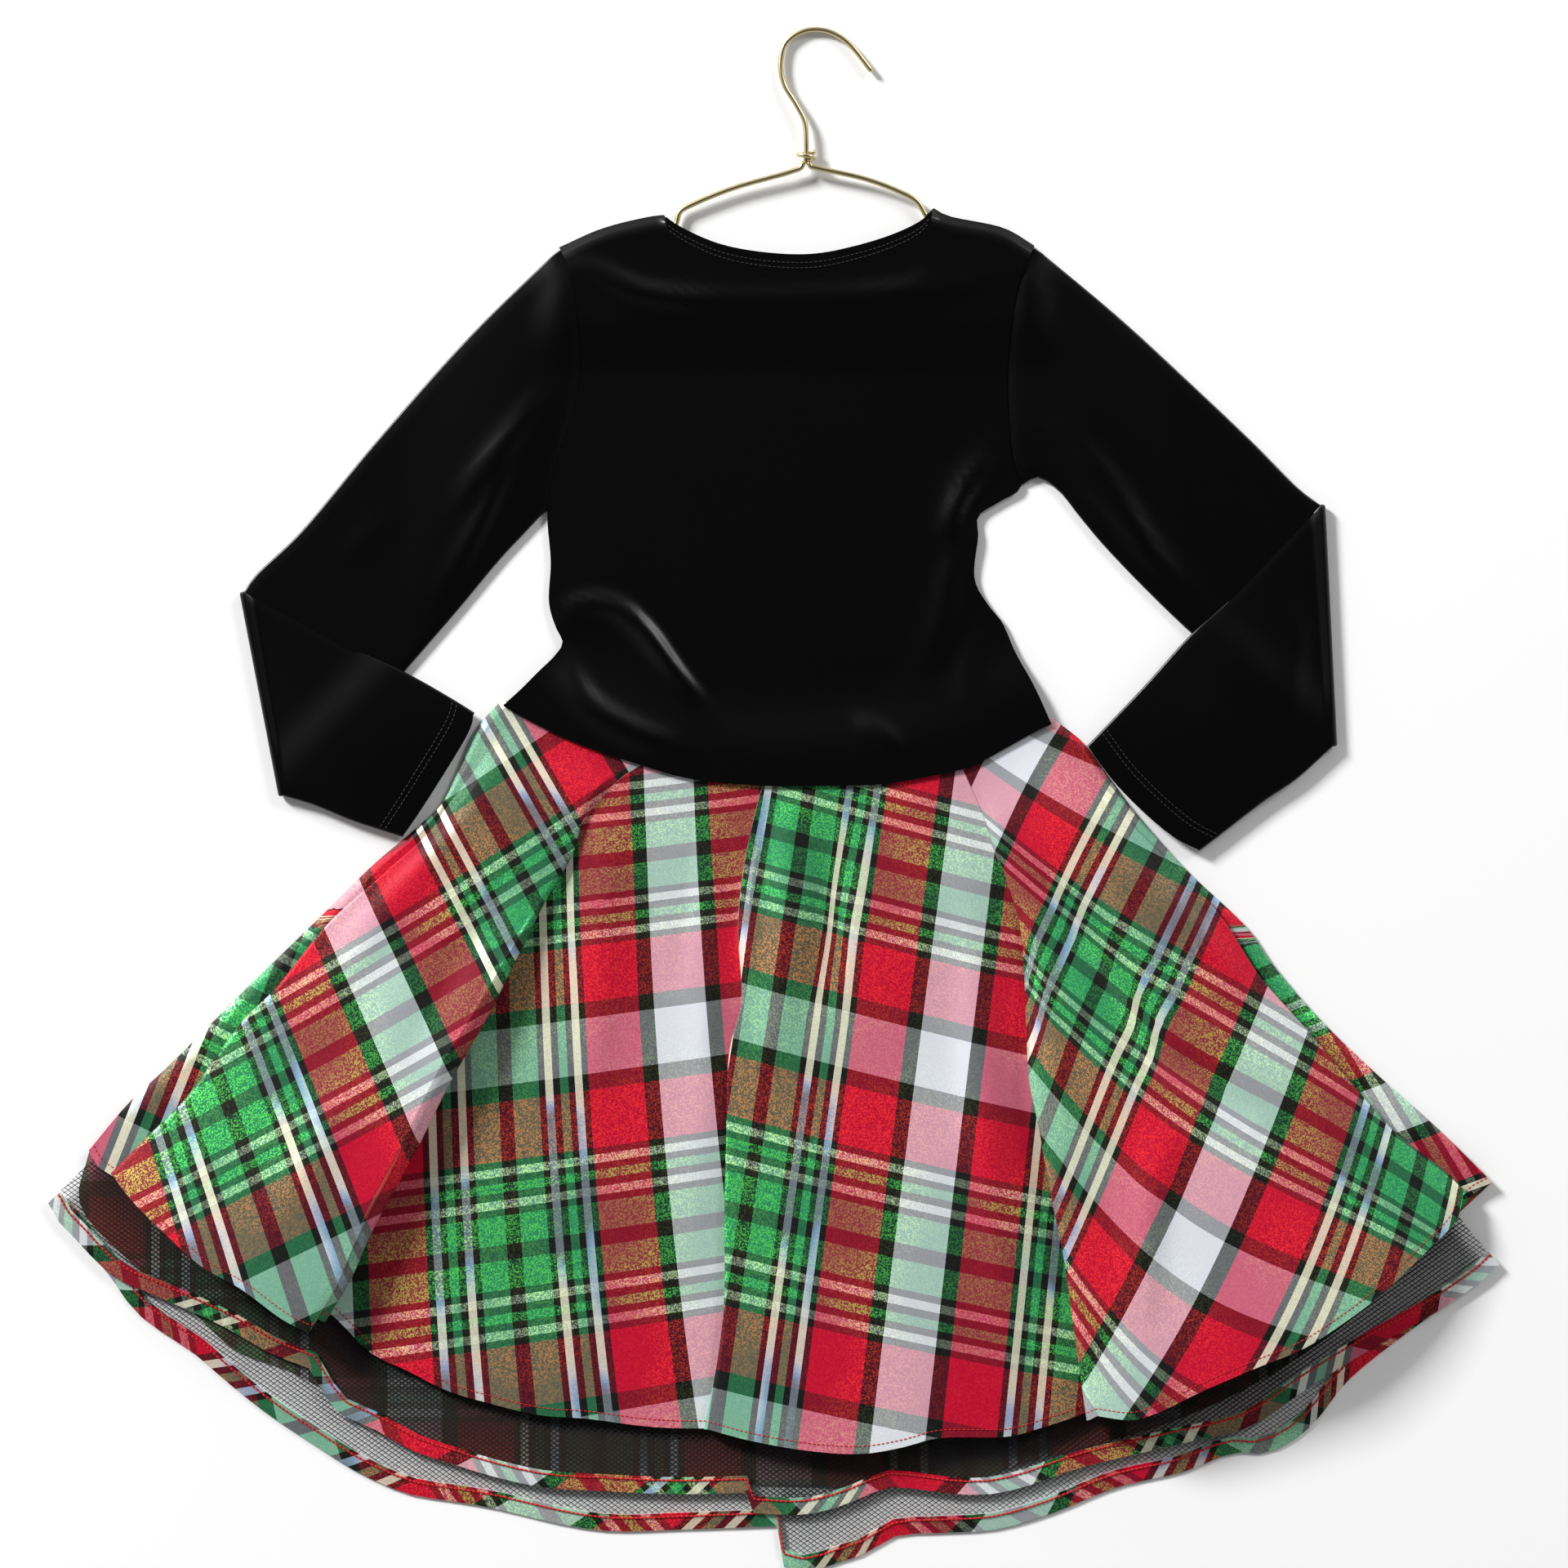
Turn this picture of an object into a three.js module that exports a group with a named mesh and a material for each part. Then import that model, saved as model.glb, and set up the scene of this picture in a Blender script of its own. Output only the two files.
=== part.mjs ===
// A girl's long-sleeved dress laid flat on its front, back upward, with a wire hanger inside its shoulders.
// Velvet bodice and sleeves, a plaid circle skirt in soft flutes, and a net petticoat with a bias-cut hem band.
// Millimetres, +Z up from the surface it lies on, +Y towards the hanger's hook. The origin is on the resting
// face of the front skirt, just under the middle of the waist seam.
import * as THREE from 'three';

// ---- driving dimensions ----------------------------------------------------------------------------------
const VELVET = 1.2;          // wall of the bodice and sleeves
const CLOTH = 1.0;           // wall of the skirt, the petticoat and its bands
const AIR = 0.3;             // clearance between pieces that lie on or against each other
const SEAM_GAP = 0.8;        // plan clearance along the curved armhole seams
const WIRE_RADIUS = 1.6;     // hanger wire
const WRAP_RADIUS = 1.3;     // thinner look of the flattened wire end wound round the neck of the hook
const PLEAT_PITCH = 1.6;     // height from one layer of a folded skirt to the next
const FLAT_PLEAT = 6;        // width that a fold takes up at the waist, where it is not folded yet
const SEAM_CURL = 4;         // width over which the back skirt's side edge turns down to meet the front skirt
const WAIST_TUCK = 4;        // how far the skirt runs up under the bodice
const WAIST_SHARE = 0.03;    // share of the skirt's length that stays level under the bodice's edge
const FRONT_WAIST_RISE = 10; // the front waist seam lies this far above the back one
const BAND_WIDTH = 10;       // bias band at the petticoat hem
const SLEEVE_PUFF = 3;       // rise of the upper arm's upper wall along its middle
const FOREARM_PUFF = 2.4;    // rise of the forearm's upper wall along its middle
const FRONT_NECK_DROP = 24;  // the front neckline is scooped this much lower than the back one

// Heights of the middles of the walls that lie on each other.
const FRONT_SKIRT_Z = CLOTH / 2;
const FRONT_NET_Z = FRONT_SKIRT_Z + CLOTH + AIR;
const BACK_NET_Z = FRONT_NET_Z + CLOTH + AIR;
const BACK_SKIRT_Z = BACK_NET_Z + CLOTH + AIR;
const FRONT_BODICE_Z = VELVET / 2;
const BACK_BODICE_Z = FRONT_BODICE_Z + VELVET + AIR;
const WIRE_Z = VELVET + AIR + WIRE_RADIUS;
const BODICE_LIFT = BACK_SKIRT_Z + (CLOTH + VELVET) / 2 + 2 * AIR - BACK_BODICE_Z; // over wire and waist
const PLEAT_RISE = 2 * PLEAT_PITCH;

// ---- outlines in plan: [x, y] ----------------------------------------------------------------------------
const LEFT_SHOULDER = [[-132, 315], [-107, 326], [-79, 333], [-71, 334]];
const NECK = [[-71, 334], [-67, 331], [-59, 326], [-38, 317], [-12, 312], [16, 311], [39, 315], [65, 323],
  [81, 331], [85, 335], [88, 338]];
const RIGHT_SHOULDER = [[88, 338], [95, 334], [130, 326], [147, 316]];
const LEFT_ARMHOLE = [[-132, 315], [-125, 300], [-121, 276], [-119, 249], [-121, 231], [-127, 209],
  [-134, 187], [-139, 162]];
const RIGHT_ARMHOLE = [[147, 316], [138, 295], [133, 267], [131, 236], [132, 211], [134, 190], [139, 174]];
const LEFT_SIDE = [[-137, 130], [-138, 106], [-134, 92], [-130, 83], [-134, 76], [-144, 66], [-155, 55],
  [-165, 46]];
const RIGHT_SIDE = [[127, 166], [114, 157], [114, 146], [112, 120], [120, 105], [128, 95], [136, 77], [147, 57],
  [157, 35]];
const WAIST = [[-165, 46], [-153, 39], [-122, 24], [-87, 12], [-55, 3], [-12, -1], [29, -1], [59, 0], [88, 5],
  [109, 10], [132, 22], [150, 32], [157, 35]];

// Each sleeve is a flat tube folded once at the elbow, so that the forearm lies over the upper arm.
const SLEEVES = {
  left: {
    away: -1, armhole: LEFT_ARMHOLE,
    upperOuter: [[-132, 315], [-185, 263], [-239, 202], [-285, 147], [-311, 122], [-317, 113]],
    upperInner: [[-139, 162], [-151, 149], [-166, 133], [-191, 103], [-223, 66], [-269, 13], [-294, -7]],
    lowerOuter: [[-317, 113], [-264, 85], [-223, 66], [-193, 49], [-182, 42]],
    lowerInner: [[-294, -7], [-277, -12], [-255, -21], [-237, -27], [-224, -31]],
    cuff: [[-182, 42], [-184, 33], [-204, -1], [-217, -21], [-224, -31]],
  },
  right: {
    away: 1, armhole: RIGHT_ARMHOLE,
    upperOuter: [[147, 316], [197, 274], [235, 239], [274, 202], [303, 173], [315, 164]],
    upperInner: [[139, 174], [149, 180], [161, 173], [174, 157], [190, 138], [239, 89], [288, 49], [322, 22]],
    lowerOuter: [[315, 164], [258, 105], [239, 88], [211, 57], [178, 22.5]],
    lowerInner: [[322, 22], [301, 3], [282, -10], [252, -33], [244, -39]],
    cuff: [[178, 22.5], [197, -2.5], [228.5, -31], [244, -39]],
  },
};

// Side edges of the skirt, from the waist to the hem.
const SKIRT_LEFT = [[-165, 46], [-180, 29], [-191, 5], [-201, -15], [-216, -29], [-241, -50], [-271, -79],
  [-317, -123], [-362, -167], [-384, -187], [-408, -215]];
const SKIRT_RIGHT = [[157, 35], [175.5, 20.5], [187.5, 4], [202.5, -16], [236, -53], [272, -87], [286, -107],
  [311, -136], [342, -166], [384, -203], [416, -234]];

// The back skirt's folds from left to right. The cloth on the side named by over lies on top. towards is the
// fold on the other side of that top layer, sharpFrom is the share of the length at which the fold has closed,
// and lap is how far the cloth is doubled under at the hem.
const FOLDS = [
  { over: 'right', towards: 1, sharpFrom: 0.3, lap: 62,
    line: [[-151, 42], [-190, -12], [-235, -54], [-266, -82], [-297, -120], [-317, -140], [-350, -185],
      [-370, -205], [-394, -229]] },
  { over: 'left', towards: 0, sharpFrom: 0.16, lap: 66,
    line: [[-85, 16], [-103, 4], [-116, -12], [-125, -41], [-140, -67], [-156, -99], [-176, -139], [-196, -174],
      [-215, -212], [-243, -264], [-254, -289], [-269, -314]] },
  { over: 'right', towards: 3, sharpFrom: 0.42, lap: 60,
    line: [[-6, 3], [-14, -29], [-20, -66], [-23, -124], [-31, -157], [-33, -211], [-34, -259], [-34, -300],
      [-38, -338], [-46, -378]] },
  { over: 'right', towards: 4, sharpFrom: 0.2, lap: 66,
    line: [[109, 14], [125, -24], [129, -48], [139, -82], [143, -148], [144, -171], [150, -201], [156, -235],
      [165, -280], [172, -330], [178, -372]] },
  { over: 'left', towards: 3, sharpFrom: 0.3, lap: 60,
    line: [[143, 31], [199, -21], [235, -56], [256, -79], [278, -113], [307, -146], [338, -183], [360, -207],
      [385, -226], [399, -240]] },
];

// The back skirt's panels between those folds. arch is how high a panel stands at the hem, fullness how
// steeply it rises from its folds, and hem its lower edge between its two folds. A side is a flat strip
// along a side seam. staysUpOver is the fold whose lap a panel crosses before it steps down.
const PANELS = [
  { side: 'left', steps: 3, arch: 0, fullness: 1, hem: [[-404, -223], [-396, -229], [-380, -238]] },
  { steps: 8, arch: 17, fullness: 0.75,
    hem: [[-381, -244], [-362, -262], [-340, -281], [-317, -294], [-289, -314], [-276, -319]] },
  { steps: 7, arch: 3, fullness: 1,
    hem: [[-267, -310], [-242, -334], [-221, -344], [-197, -356], [-173, -363], [-144, -370], [-117, -372],
      [-78, -377], [-46, -378]] },
  { steps: 9, arch: 3, fullness: 1, staysUpOver: 2,
    hem: [[-22, -384], [12, -390], [45, -392], [70, -388], [89, -383], [133, -382], [148, -378], [178, -368]] },
  { steps: 10, arch: 21, fullness: 0.75,
    hem: [[204, -371], [219, -366], [243, -354], [275, -340], [302, -329], [326, -314], [349, -297],
      [375, -273], [394, -254]] },
  { side: 'right', steps: 3, arch: 0, fullness: 1, hem: [[385, -260], [394, -254], [404, -241]] },
];
const STEP_DOWN_WIDTH = 26;  // a panel that steps down does so this far beyond the lap of the fold under it
const STATIONS = [0, 0.05, 0.1, 0.16, 0.23, 0.3, 0.37, 0.45, 0.54, 0.63, 0.72, 0.81, 0.9, 0.95, 1];

const FRONT_SKIRT_HEM = [[-408, -215], [-414, -246], [-385, -280], [-350, -308], [-322, -333], [-290, -345],
  [-235, -376], [-150, -403], [-60, -410], [0, -412], [90, -412], [160, -394], [230, -374], [290, -345],
  [345, -305], [380, -268], [416, -234]];

// The petticoat's side edges run just inside the skirt's and leave it at the hem.
const NET_LEFT = [[-152, 38], [-172, 22], [-183, 0], [-194, -21], [-235, -56], [-265, -85], [-311, -129],
  [-356, -172], [-378, -193], [-432, -246]];
const NET_RIGHT = [[146, 29], [183, -2], [231, -58], [266, -93], [305, -142], [336, -171], [373, -216],
  [397, -255], [420, -282]];
const NET_STATIONS = [0, 0.18, 0.36, 0.54, 0.7, 0.85, 1];

// Each hem is a chain of stretches, and it steps from one to the next where the net is doubled over.
const BACK_NET_HEM = [
  { steps: 6, points: [[-432, -246], [-429, -253], [-418, -265], [-394, -289], [-370, -300], [-330, -318],
    [-302, -334], [-279, -343]] },
  { steps: 9, points: [[-275, -350], [-262, -369], [-242, -378], [-219, -391], [-192, -400], [-173, -406],
    [-141, -413], [-109, -415], [-61, -417], [-22, -416]] },
  { steps: 15, points: [[-18, -428], [12, -429], [33, -424], [48, -418], [60, -413], [102, -417], [121, -417],
    [140, -413], [172, -402], [230, -388], [274, -377], [307, -355], [346, -331], [383, -310], [413, -289],
    [420, -282]] },
];
const FRONT_NET_HEM = [
  { steps: 15, points: [[-426, -254], [-397, -288], [-380, -311], [-346, -335], [-330, -349], [-305, -369],
    [-275, -389], [-251, -404], [-221, -417], [-197, -421], [-173, -425], [-125, -436], [-101, -439],
    [-61, -438], [-4, -436]] },
  { steps: 14, points: [[0, -460], [12, -463], [33, -457], [48, -452], [65, -442], [92, -440], [124, -438],
    [156, -429], [196, -413], [235, -404], [264, -393], [283, -393], [307, -380], [329, -353], [342, -341],
    [383, -310], [415, -286]] },
];

// Hanger wires, each [x, y] in order. The hook is a crook on an S-shaped neck, which runs down between the
// upper ends of the two arms.
const HOOK = [[51, 419], [39, 434], [31, 440], [22, 443], [11, 442], [1, 435], [-2, 423], [0, 411], [7, 399],
  [12, 389], [13, 378], [13, 364.7]];
const LEFT_ARM = [[11.2, 364.4], [10, 361.8], [5, 359.6], [-29, 350], [-52, 341], [-61, 336], [-64, 328],
  [-76, 322], [-104, 314], [-118, 310], [-122, 306]];
const RIGHT_ARM = [[14.8, 364.4], [15.8, 362.4], [20, 361.3], [48, 355], [67, 348], [78, 342], [84, 333],
  [92, 326], [112, 320], [127, 314], [131, 309]];
const BAR = [[-123.4, 304.4], [-121, 299], [-112, 295], [-91, 291], [-29, 286], [43, 288], [91, 291],
  [120, 297], [131, 301], [132, 306.8]];
const WRAP = { x: 13, y: 368.8, halfWidth: 4.4, halfHeight: 3.4, climb: 4.2, turns: 1.2, startsAt: -72 };
const NECK_Z = 5.1;          // middle of the wire where hook and arms meet, clear of the surface by the wrap
const WIRE_HEIGHTS = [[330, WIRE_Z], [362, NECK_Z], [376, NECK_Z], [443, WIRE_RADIUS + 0.1]]; // [y, middle]

// ---- small helpers ---------------------------------------------------------------------------------------
const mix = THREE.MathUtils.lerp;
const smooth = (value) => THREE.MathUtils.smoothstep(value, 0, 1);

function curve(points) {
  const places = points.map(([x, y]) => new THREE.Vector3(x, y, 0));
  const path = new THREE.CatmullRomCurve3(places, false, 'centripetal');
  path.arcLengthDivisions = 600;
  return (share) => path.getPointAt(THREE.MathUtils.clamp(share, 0, 1));
}

// The height of the line through a table of [key, value] rows.
function along(rows, key) {
  const next = rows.findIndex((row) => row[0] >= key);
  if (next === -1) return rows.at(-1)[1];
  if (next === 0) return rows[0][1];
  const [[k0, v0], [k1, v1]] = [rows[next - 1], rows[next]];
  return mix(v0, v1, (key - k0) / (k1 - k0));
}

const waistY = (x) => along(WAIST, x);

// The front waist seam bows upward between the side seams.
function frontWaistRise(x) {
  const share = (x - WAIST[0][0]) / (WAIST.at(-1)[0] - WAIST[0][0]);
  return FRONT_WAIST_RISE * Math.sin(Math.PI * THREE.MathUtils.clamp(share, 0, 1));
}

// A sheet over four edges: left and right run from top to bottom, top and bottom from left to right.
function patch({ left, right, top, bottom }) {
  return (u, v) => {
    const ruled = left(v).multiplyScalar(1 - u).add(right(v).multiplyScalar(u));
    ruled.add(top(u).multiplyScalar(1 - v)).add(bottom(u).multiplyScalar(v));
    ruled.addScaledVector(left(0), -(1 - u) * (1 - v)).addScaledVector(right(0), -u * (1 - v));
    return ruled.addScaledVector(left(1), -(1 - u) * v).addScaledVector(right(1), -u * v);
  };
}

// The stretch of waist seam between two points that lie on it or near it.
function waistBetween(from, to) {
  return (u) => {
    const point = from.clone().lerp(to, u);
    point.y += waistY(point.x) - mix(waistY(from.x), waistY(to.x), u);
    return point.setZ(0);
  };
}

const evenly = (steps) => Array.from({ length: steps + 1 }, (_, k) => k / steps);

// ---- closed walls ----------------------------------------------------------------------------------------
// Joins two grids of points, the outside and the inside of a wall, into one closed body. With tube set, the
// last column joins the first.
function closedWall(over, under, tube = false) {
  const rows = over.length;
  const columns = over[0].length;
  const at = (skin, i, j) => (skin * rows + i) * columns + (j % columns);
  const faces = [];
  const quad = (a, b, c, d) => faces.push(a, b, c, a, c, d);
  const across = tube ? columns : columns - 1;
  const last = rows - 1;
  for (let j = 0; j < across; j += 1) {
    for (let i = 0; i < last; i += 1) {
      quad(at(0, i, j), at(0, i + 1, j), at(0, i + 1, j + 1), at(0, i, j + 1));
      quad(at(1, i, j), at(1, i, j + 1), at(1, i + 1, j + 1), at(1, i + 1, j));
    }
    quad(at(0, 0, j), at(0, 0, j + 1), at(1, 0, j + 1), at(1, 0, j));
    quad(at(0, last, j), at(1, last, j), at(1, last, j + 1), at(0, last, j + 1));
  }
  if (!tube) {
    const edge = columns - 1;
    for (let i = 0; i < last; i += 1) {
      quad(at(0, i, 0), at(1, i, 0), at(1, i + 1, 0), at(0, i + 1, 0));
      quad(at(0, i, edge), at(0, i + 1, edge), at(1, i + 1, edge), at(1, i, edge));
    }
  }
  const points = [...over, ...under].flat();
  if (volume(points, faces) < 0) faces.reverse();
  const geometry = new THREE.BufferGeometry();
  const places = points.flatMap(({ x, y, z }) => [x, y, z]);
  geometry.setAttribute('position', new THREE.Float32BufferAttribute(places, 3));
  geometry.setIndex(faces);
  geometry.computeVertexNormals();
  return geometry;
}

function volume(points, faces) {
  let six = 0;
  for (let k = 0; k < faces.length; k += 3) {
    const [a, b, c] = [points[faces[k]], points[faces[k + 1]], points[faces[k + 2]]];
    six += a.dot(b.clone().cross(c));
  }
  return six / 6;
}

// A wall of even thickness about a grid of middle points, thickened along the surface's normal.
function wallAbout(grid, thickness) {
  const heading = (before, here, after) => {
    const sum = new THREE.Vector3();
    if (before) sum.add(here.clone().sub(before).normalize());
    if (after) sum.add(after.clone().sub(here).normalize());
    return sum.normalize();
  };
  const normals = grid.map((row, i) => row.map((point, j) => {
    const down = heading(grid[i - 1]?.[j], point, grid[i + 1]?.[j]);
    const side = heading(row[j - 1], point, row[j + 1]);
    return down.cross(side).normalize();
  }));
  const skin = (reach) => grid.map((row, i) => row.map((point, j) => (
    point.clone().addScaledVector(normals[i][j], reach))));
  return closedWall(skin(thickness / 2), skin(-thickness / 2));
}

function wire(points, radius, height) {
  const path = new THREE.CatmullRomCurve3(points.map(([x, y, z]) => new THREE.Vector3(x, y, z ?? height(y))));
  const round = new THREE.Shape().absarc(0, 0, radius, 0, 2 * Math.PI);
  return new THREE.ExtrudeGeometry(round, { extrudePath: path, steps: points.length * 2, curveSegments: 4 });
}

// ---- bodice ----------------------------------------------------------------------------------------------
// How much of the full lift the back bodice and sleeve heads take at a point, to pass over the hanger.
function overHanger({ x, y }) {
  return smooth((y - 240) / 34) * smooth((x + 152) / 24) * smooth((166 - x) / 24);
}

// Columns of the bodice: shoulder, neckline and shoulder, with a close one on each side of the neck points.
const BACK_TOP = [
  { points: LEFT_SHOULDER, shares: [0, 0.33, 0.66, 0.93] },
  { points: NECK, shares: [0, 0.028, 0.09, 0.2, 0.31, 0.42, 0.53, 0.64, 0.75, 0.86, 0.93, 0.972] },
  { points: RIGHT_SHOULDER, shares: [0, 0.07, 0.34, 0.67, 1] },
];
const FRONT_TOP = [
  { points: LEFT_SHOULDER, shares: [0, 0.5] },
  { points: NECK, shares: [0, 0.12, 0.3, 0.5, 0.7, 0.88] },
  { points: RIGHT_SHOULDER, shares: [0, 0.5, 1] },
];
const BODICE_ROWS = [0, 0.017, 0.06, 0.12, 0.19, 0.26, 0.33, 0.41, 0.49, 0.57, 0.65, 0.73, 0.81, 0.88, 0.94, 1];

// The middle points of one side of the bodice. waistRise gives how far above WAIST its lower edge is at x.
function bodice({ edges, neckDrop, waistRise, height }) {
  const top = edges.flatMap(({ points, shares }) => {
    const line = curve(points);
    const drop = points === NECK ? neckDrop : 0;
    return shares.map((share) => line(share).add(new THREE.Vector3(0, -drop * Math.sin(Math.PI * share), 0)));
  });
  const left = curve([...LEFT_ARMHOLE, ...LEFT_SIDE]);
  const right = curve([...RIGHT_ARMHOLE, ...RIGHT_SIDE]);
  const lengths = top.map((point, k) => (k ? point.distanceTo(top[k - 1]) : 0));
  const total = lengths.reduce((sum, length) => sum + length, 0);
  let run = 0;
  const columns = lengths.map((length) => (run += length) / total);
  const seam = curve(WAIST);
  return BODICE_ROWS.map((v) => columns.map((u, k) => {
    const sheet = patch({
      left, right,
      top: () => top[k].clone(),
      bottom: (share) => {
        const point = seam(share);
        return point.setY(point.y + waistRise(point.x));
      },
    });
    const point = sheet(u, v);
    return point.setZ(height(point, v));
  }));
}

const backBodice = () => wallAbout(bodice({
  edges: BACK_TOP, neckDrop: 0, waistRise: () => 0,
  height: (point, v) => {
    const shoulderEdge = point.x < NECK[0][0] + 1 || point.x > NECK.at(-1)[0] - 1 ? smooth(v / 0.017) : 1;
    const overWire = overHanger(point) * shoulderEdge;
    return BACK_BODICE_Z + BODICE_LIFT * Math.max(overWire, smooth((v - 0.8) / 0.14));
  },
}), VELVET);

const frontBodice = () => wallAbout(bodice({
  edges: FRONT_TOP, neckDrop: FRONT_NECK_DROP, waistRise: frontWaistRise, height: () => FRONT_BODICE_Z,
}), VELVET);

// ---- sleeves ---------------------------------------------------------------------------------------------
// Places round a flattened tube as [share of the width, angle about its edge].
const FLAT_SHARES = evenly(6);
const ROUND_THE_TUBE = [
  ...FLAT_SHARES.map((share) => [share, 90]), [1, 30], [1, -30],
  ...FLAT_SHARES.toReversed().map((share) => [share, -90]), [0, -150], [0, 150],
];
const UPPER_ARM_RINGS = evenly(8);
const CREASE_ANGLES = [36, 72, 108, 144, 180];
const FOREARM_RINGS = [0.08, 0.2, 0.34, 0.48, 0.62, 0.76, 0.88, 1];
const TUBE_HALF = (VELVET + AIR) / 2;              // from the tube's middle to the middle of either wall
const CREASE_HALF = TUBE_HALF * 2;                 // radius of the tube's middle round the elbow crease
const FOREARM_RISE = 2 * CREASE_HALF;              // the forearm lies this much higher than the upper arm

function sleeve({ away, armhole, upperOuter, upperInner, lowerOuter, lowerInner, cuff }) {
  const [outer, inner] = [curve(upperOuter), curve(upperInner)];
  const [foreOuter, foreInner] = [curve(lowerOuter), curve(lowerInner)];
  const [seam, hem] = [curve(armhole), curve(cuff)];
  const up = new THREE.Vector3(0, 0, 1);
  const chord = (a, b, share) => a.clone().lerp(b, share);
  const bow = (line, share) => line(share).sub(chord(line(0), line(1), share)); // an edge's reach off its chord
  const crease = outer(1).sub(inner(1)).normalize();
  const outward = new THREE.Vector3(Math.abs(crease.y) * away, -crease.x * Math.sign(crease.y) * away, 0);

  // Above the upper arm's own inner edge the forearm is raised, and it comes down to the surface beyond it.
  const edgeStart = inner(0.6);
  const edge = inner(1).sub(edgeStart).normalize();
  const inside = new THREE.Vector3(-edge.y, edge.x, 0).multiplyScalar(-away);
  const raised = (point) => smooth((point.clone().sub(edgeStart).dot(inside) + 16) / 13);

  const rings = [];
  for (const t of UPPER_ARM_RINGS) {
    const fade = (1 - t) ** 1.5;
    rings.push({
      up,
      puff: SLEEVE_PUFF * Math.sin(Math.PI * Math.min(1, t / 0.55)),
      line: (share) => chord(outer(t), inner(t), share).addScaledVector(bow(seam, share), fade)
        .add(new THREE.Vector3(away * SEAM_GAP * fade, 0, TUBE_HALF + VELVET / 2)),
    });
  }
  for (const degrees of CREASE_ANGLES) {
    const turn = THREE.MathUtils.degToRad(degrees);
    const spoke = outward.clone().multiplyScalar(Math.sin(turn)).addScaledVector(up, -Math.cos(turn));
    rings.push({
      up: spoke.clone().negate(),
      puff: 0,
      line: (share) => chord(outer(1), inner(1), share).addScaledVector(spoke, CREASE_HALF)
        .add(new THREE.Vector3(0, 0, TUBE_HALF + VELVET / 2 + CREASE_HALF)),
    });
  }
  for (const t of FOREARM_RINGS) {
    rings.push({
      up: up.clone().negate(),
      puff: -FOREARM_PUFF * Math.sin(Math.PI * t),
      line: (share) => {
        const point = chord(foreOuter(t), foreInner(t), share).addScaledVector(bow(hem, share), t ** 2);
        return point.setZ(TUBE_HALF + VELVET / 2 + FOREARM_RISE * raised(point));
      },
    });
  }

  // The first rings take the lift of the bodice over the hanger on their upper wall.
  const skin = (half) => rings.map(({ up: normal, puff, line }) => {
    const width = line(0).distanceTo(line(1));
    const inset = (TUBE_HALF + VELVET / 2) / width;
    const across = line(1).sub(line(0)).normalize();
    return ROUND_THE_TUBE.map(([share, angle]) => {
      const turn = THREE.MathUtils.degToRad(angle);
      const point = line(inset + share * (1 - 2 * inset));
      const lift = normal.z === 1 ? BODICE_LIFT * overHanger(point) : 0;
      point.addScaledVector(across, half * Math.cos(turn)).addScaledVector(normal, half * Math.sin(turn));
      const onTop = puff >= 0 ? Math.max(0, Math.sin(turn)) : Math.max(0, -Math.sin(turn));
      const crown = Math.abs(puff) * Math.sin(Math.PI * share);
      const shared = lift * Math.sin(Math.PI * Math.min(share * 3, 0.5));
      return point.add(new THREE.Vector3(0, 0, onTop * (crown + shared)));
    });
  });
  return closedWall(skin(TUBE_HALF + VELVET / 2), skin(TUBE_HALF - VELVET / 2), true);
}

// ---- back skirt ------------------------------------------------------------------------------------------
// One fold as eight points from the hidden turn of the lower layer to the visible edge of the top layer. At
// the waist they lie spread out and level, then they rise, close into an S and start to overlap.
function foldSection(fold, line, opposite) {
  const radius = PLEAT_PITCH / 2;
  const bulge = radius * Math.cos(Math.PI / 6);
  const heights = [0, 0.25, 0.75, 1, 1, 1.25, 1.75, 2].map((share) => share * PLEAT_PITCH);
  return (t) => {
    const edge = line(t);
    const towards = opposite(t).sub(edge).setZ(0).normalize();
    const closing = 2 * (t - WAIST_SHARE) / (fold.sharpFrom - WAIST_SHARE);
    const rise = smooth(closing);
    const turn = smooth(closing - 1);
    const lap = 1 + fold.lap * Math.max(0, (t - fold.sharpFrom) / (1 - fold.sharpFrom));
    const folded = [lap, lap + bulge, lap + bulge, lap, 0, -bulge, -bulge, 0];
    return folded.map((reach, k) => {
      const level = k / (folded.length - 1);
      const across = mix(FLAT_PLEAT * (level - 1), reach, turn);
      const height = rise * mix(level * PLEAT_RISE, heights[k], turn);
      return edge.clone().addScaledVector(towards, across).setZ(BACK_SKIRT_Z + height);
    });
  };
}

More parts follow.
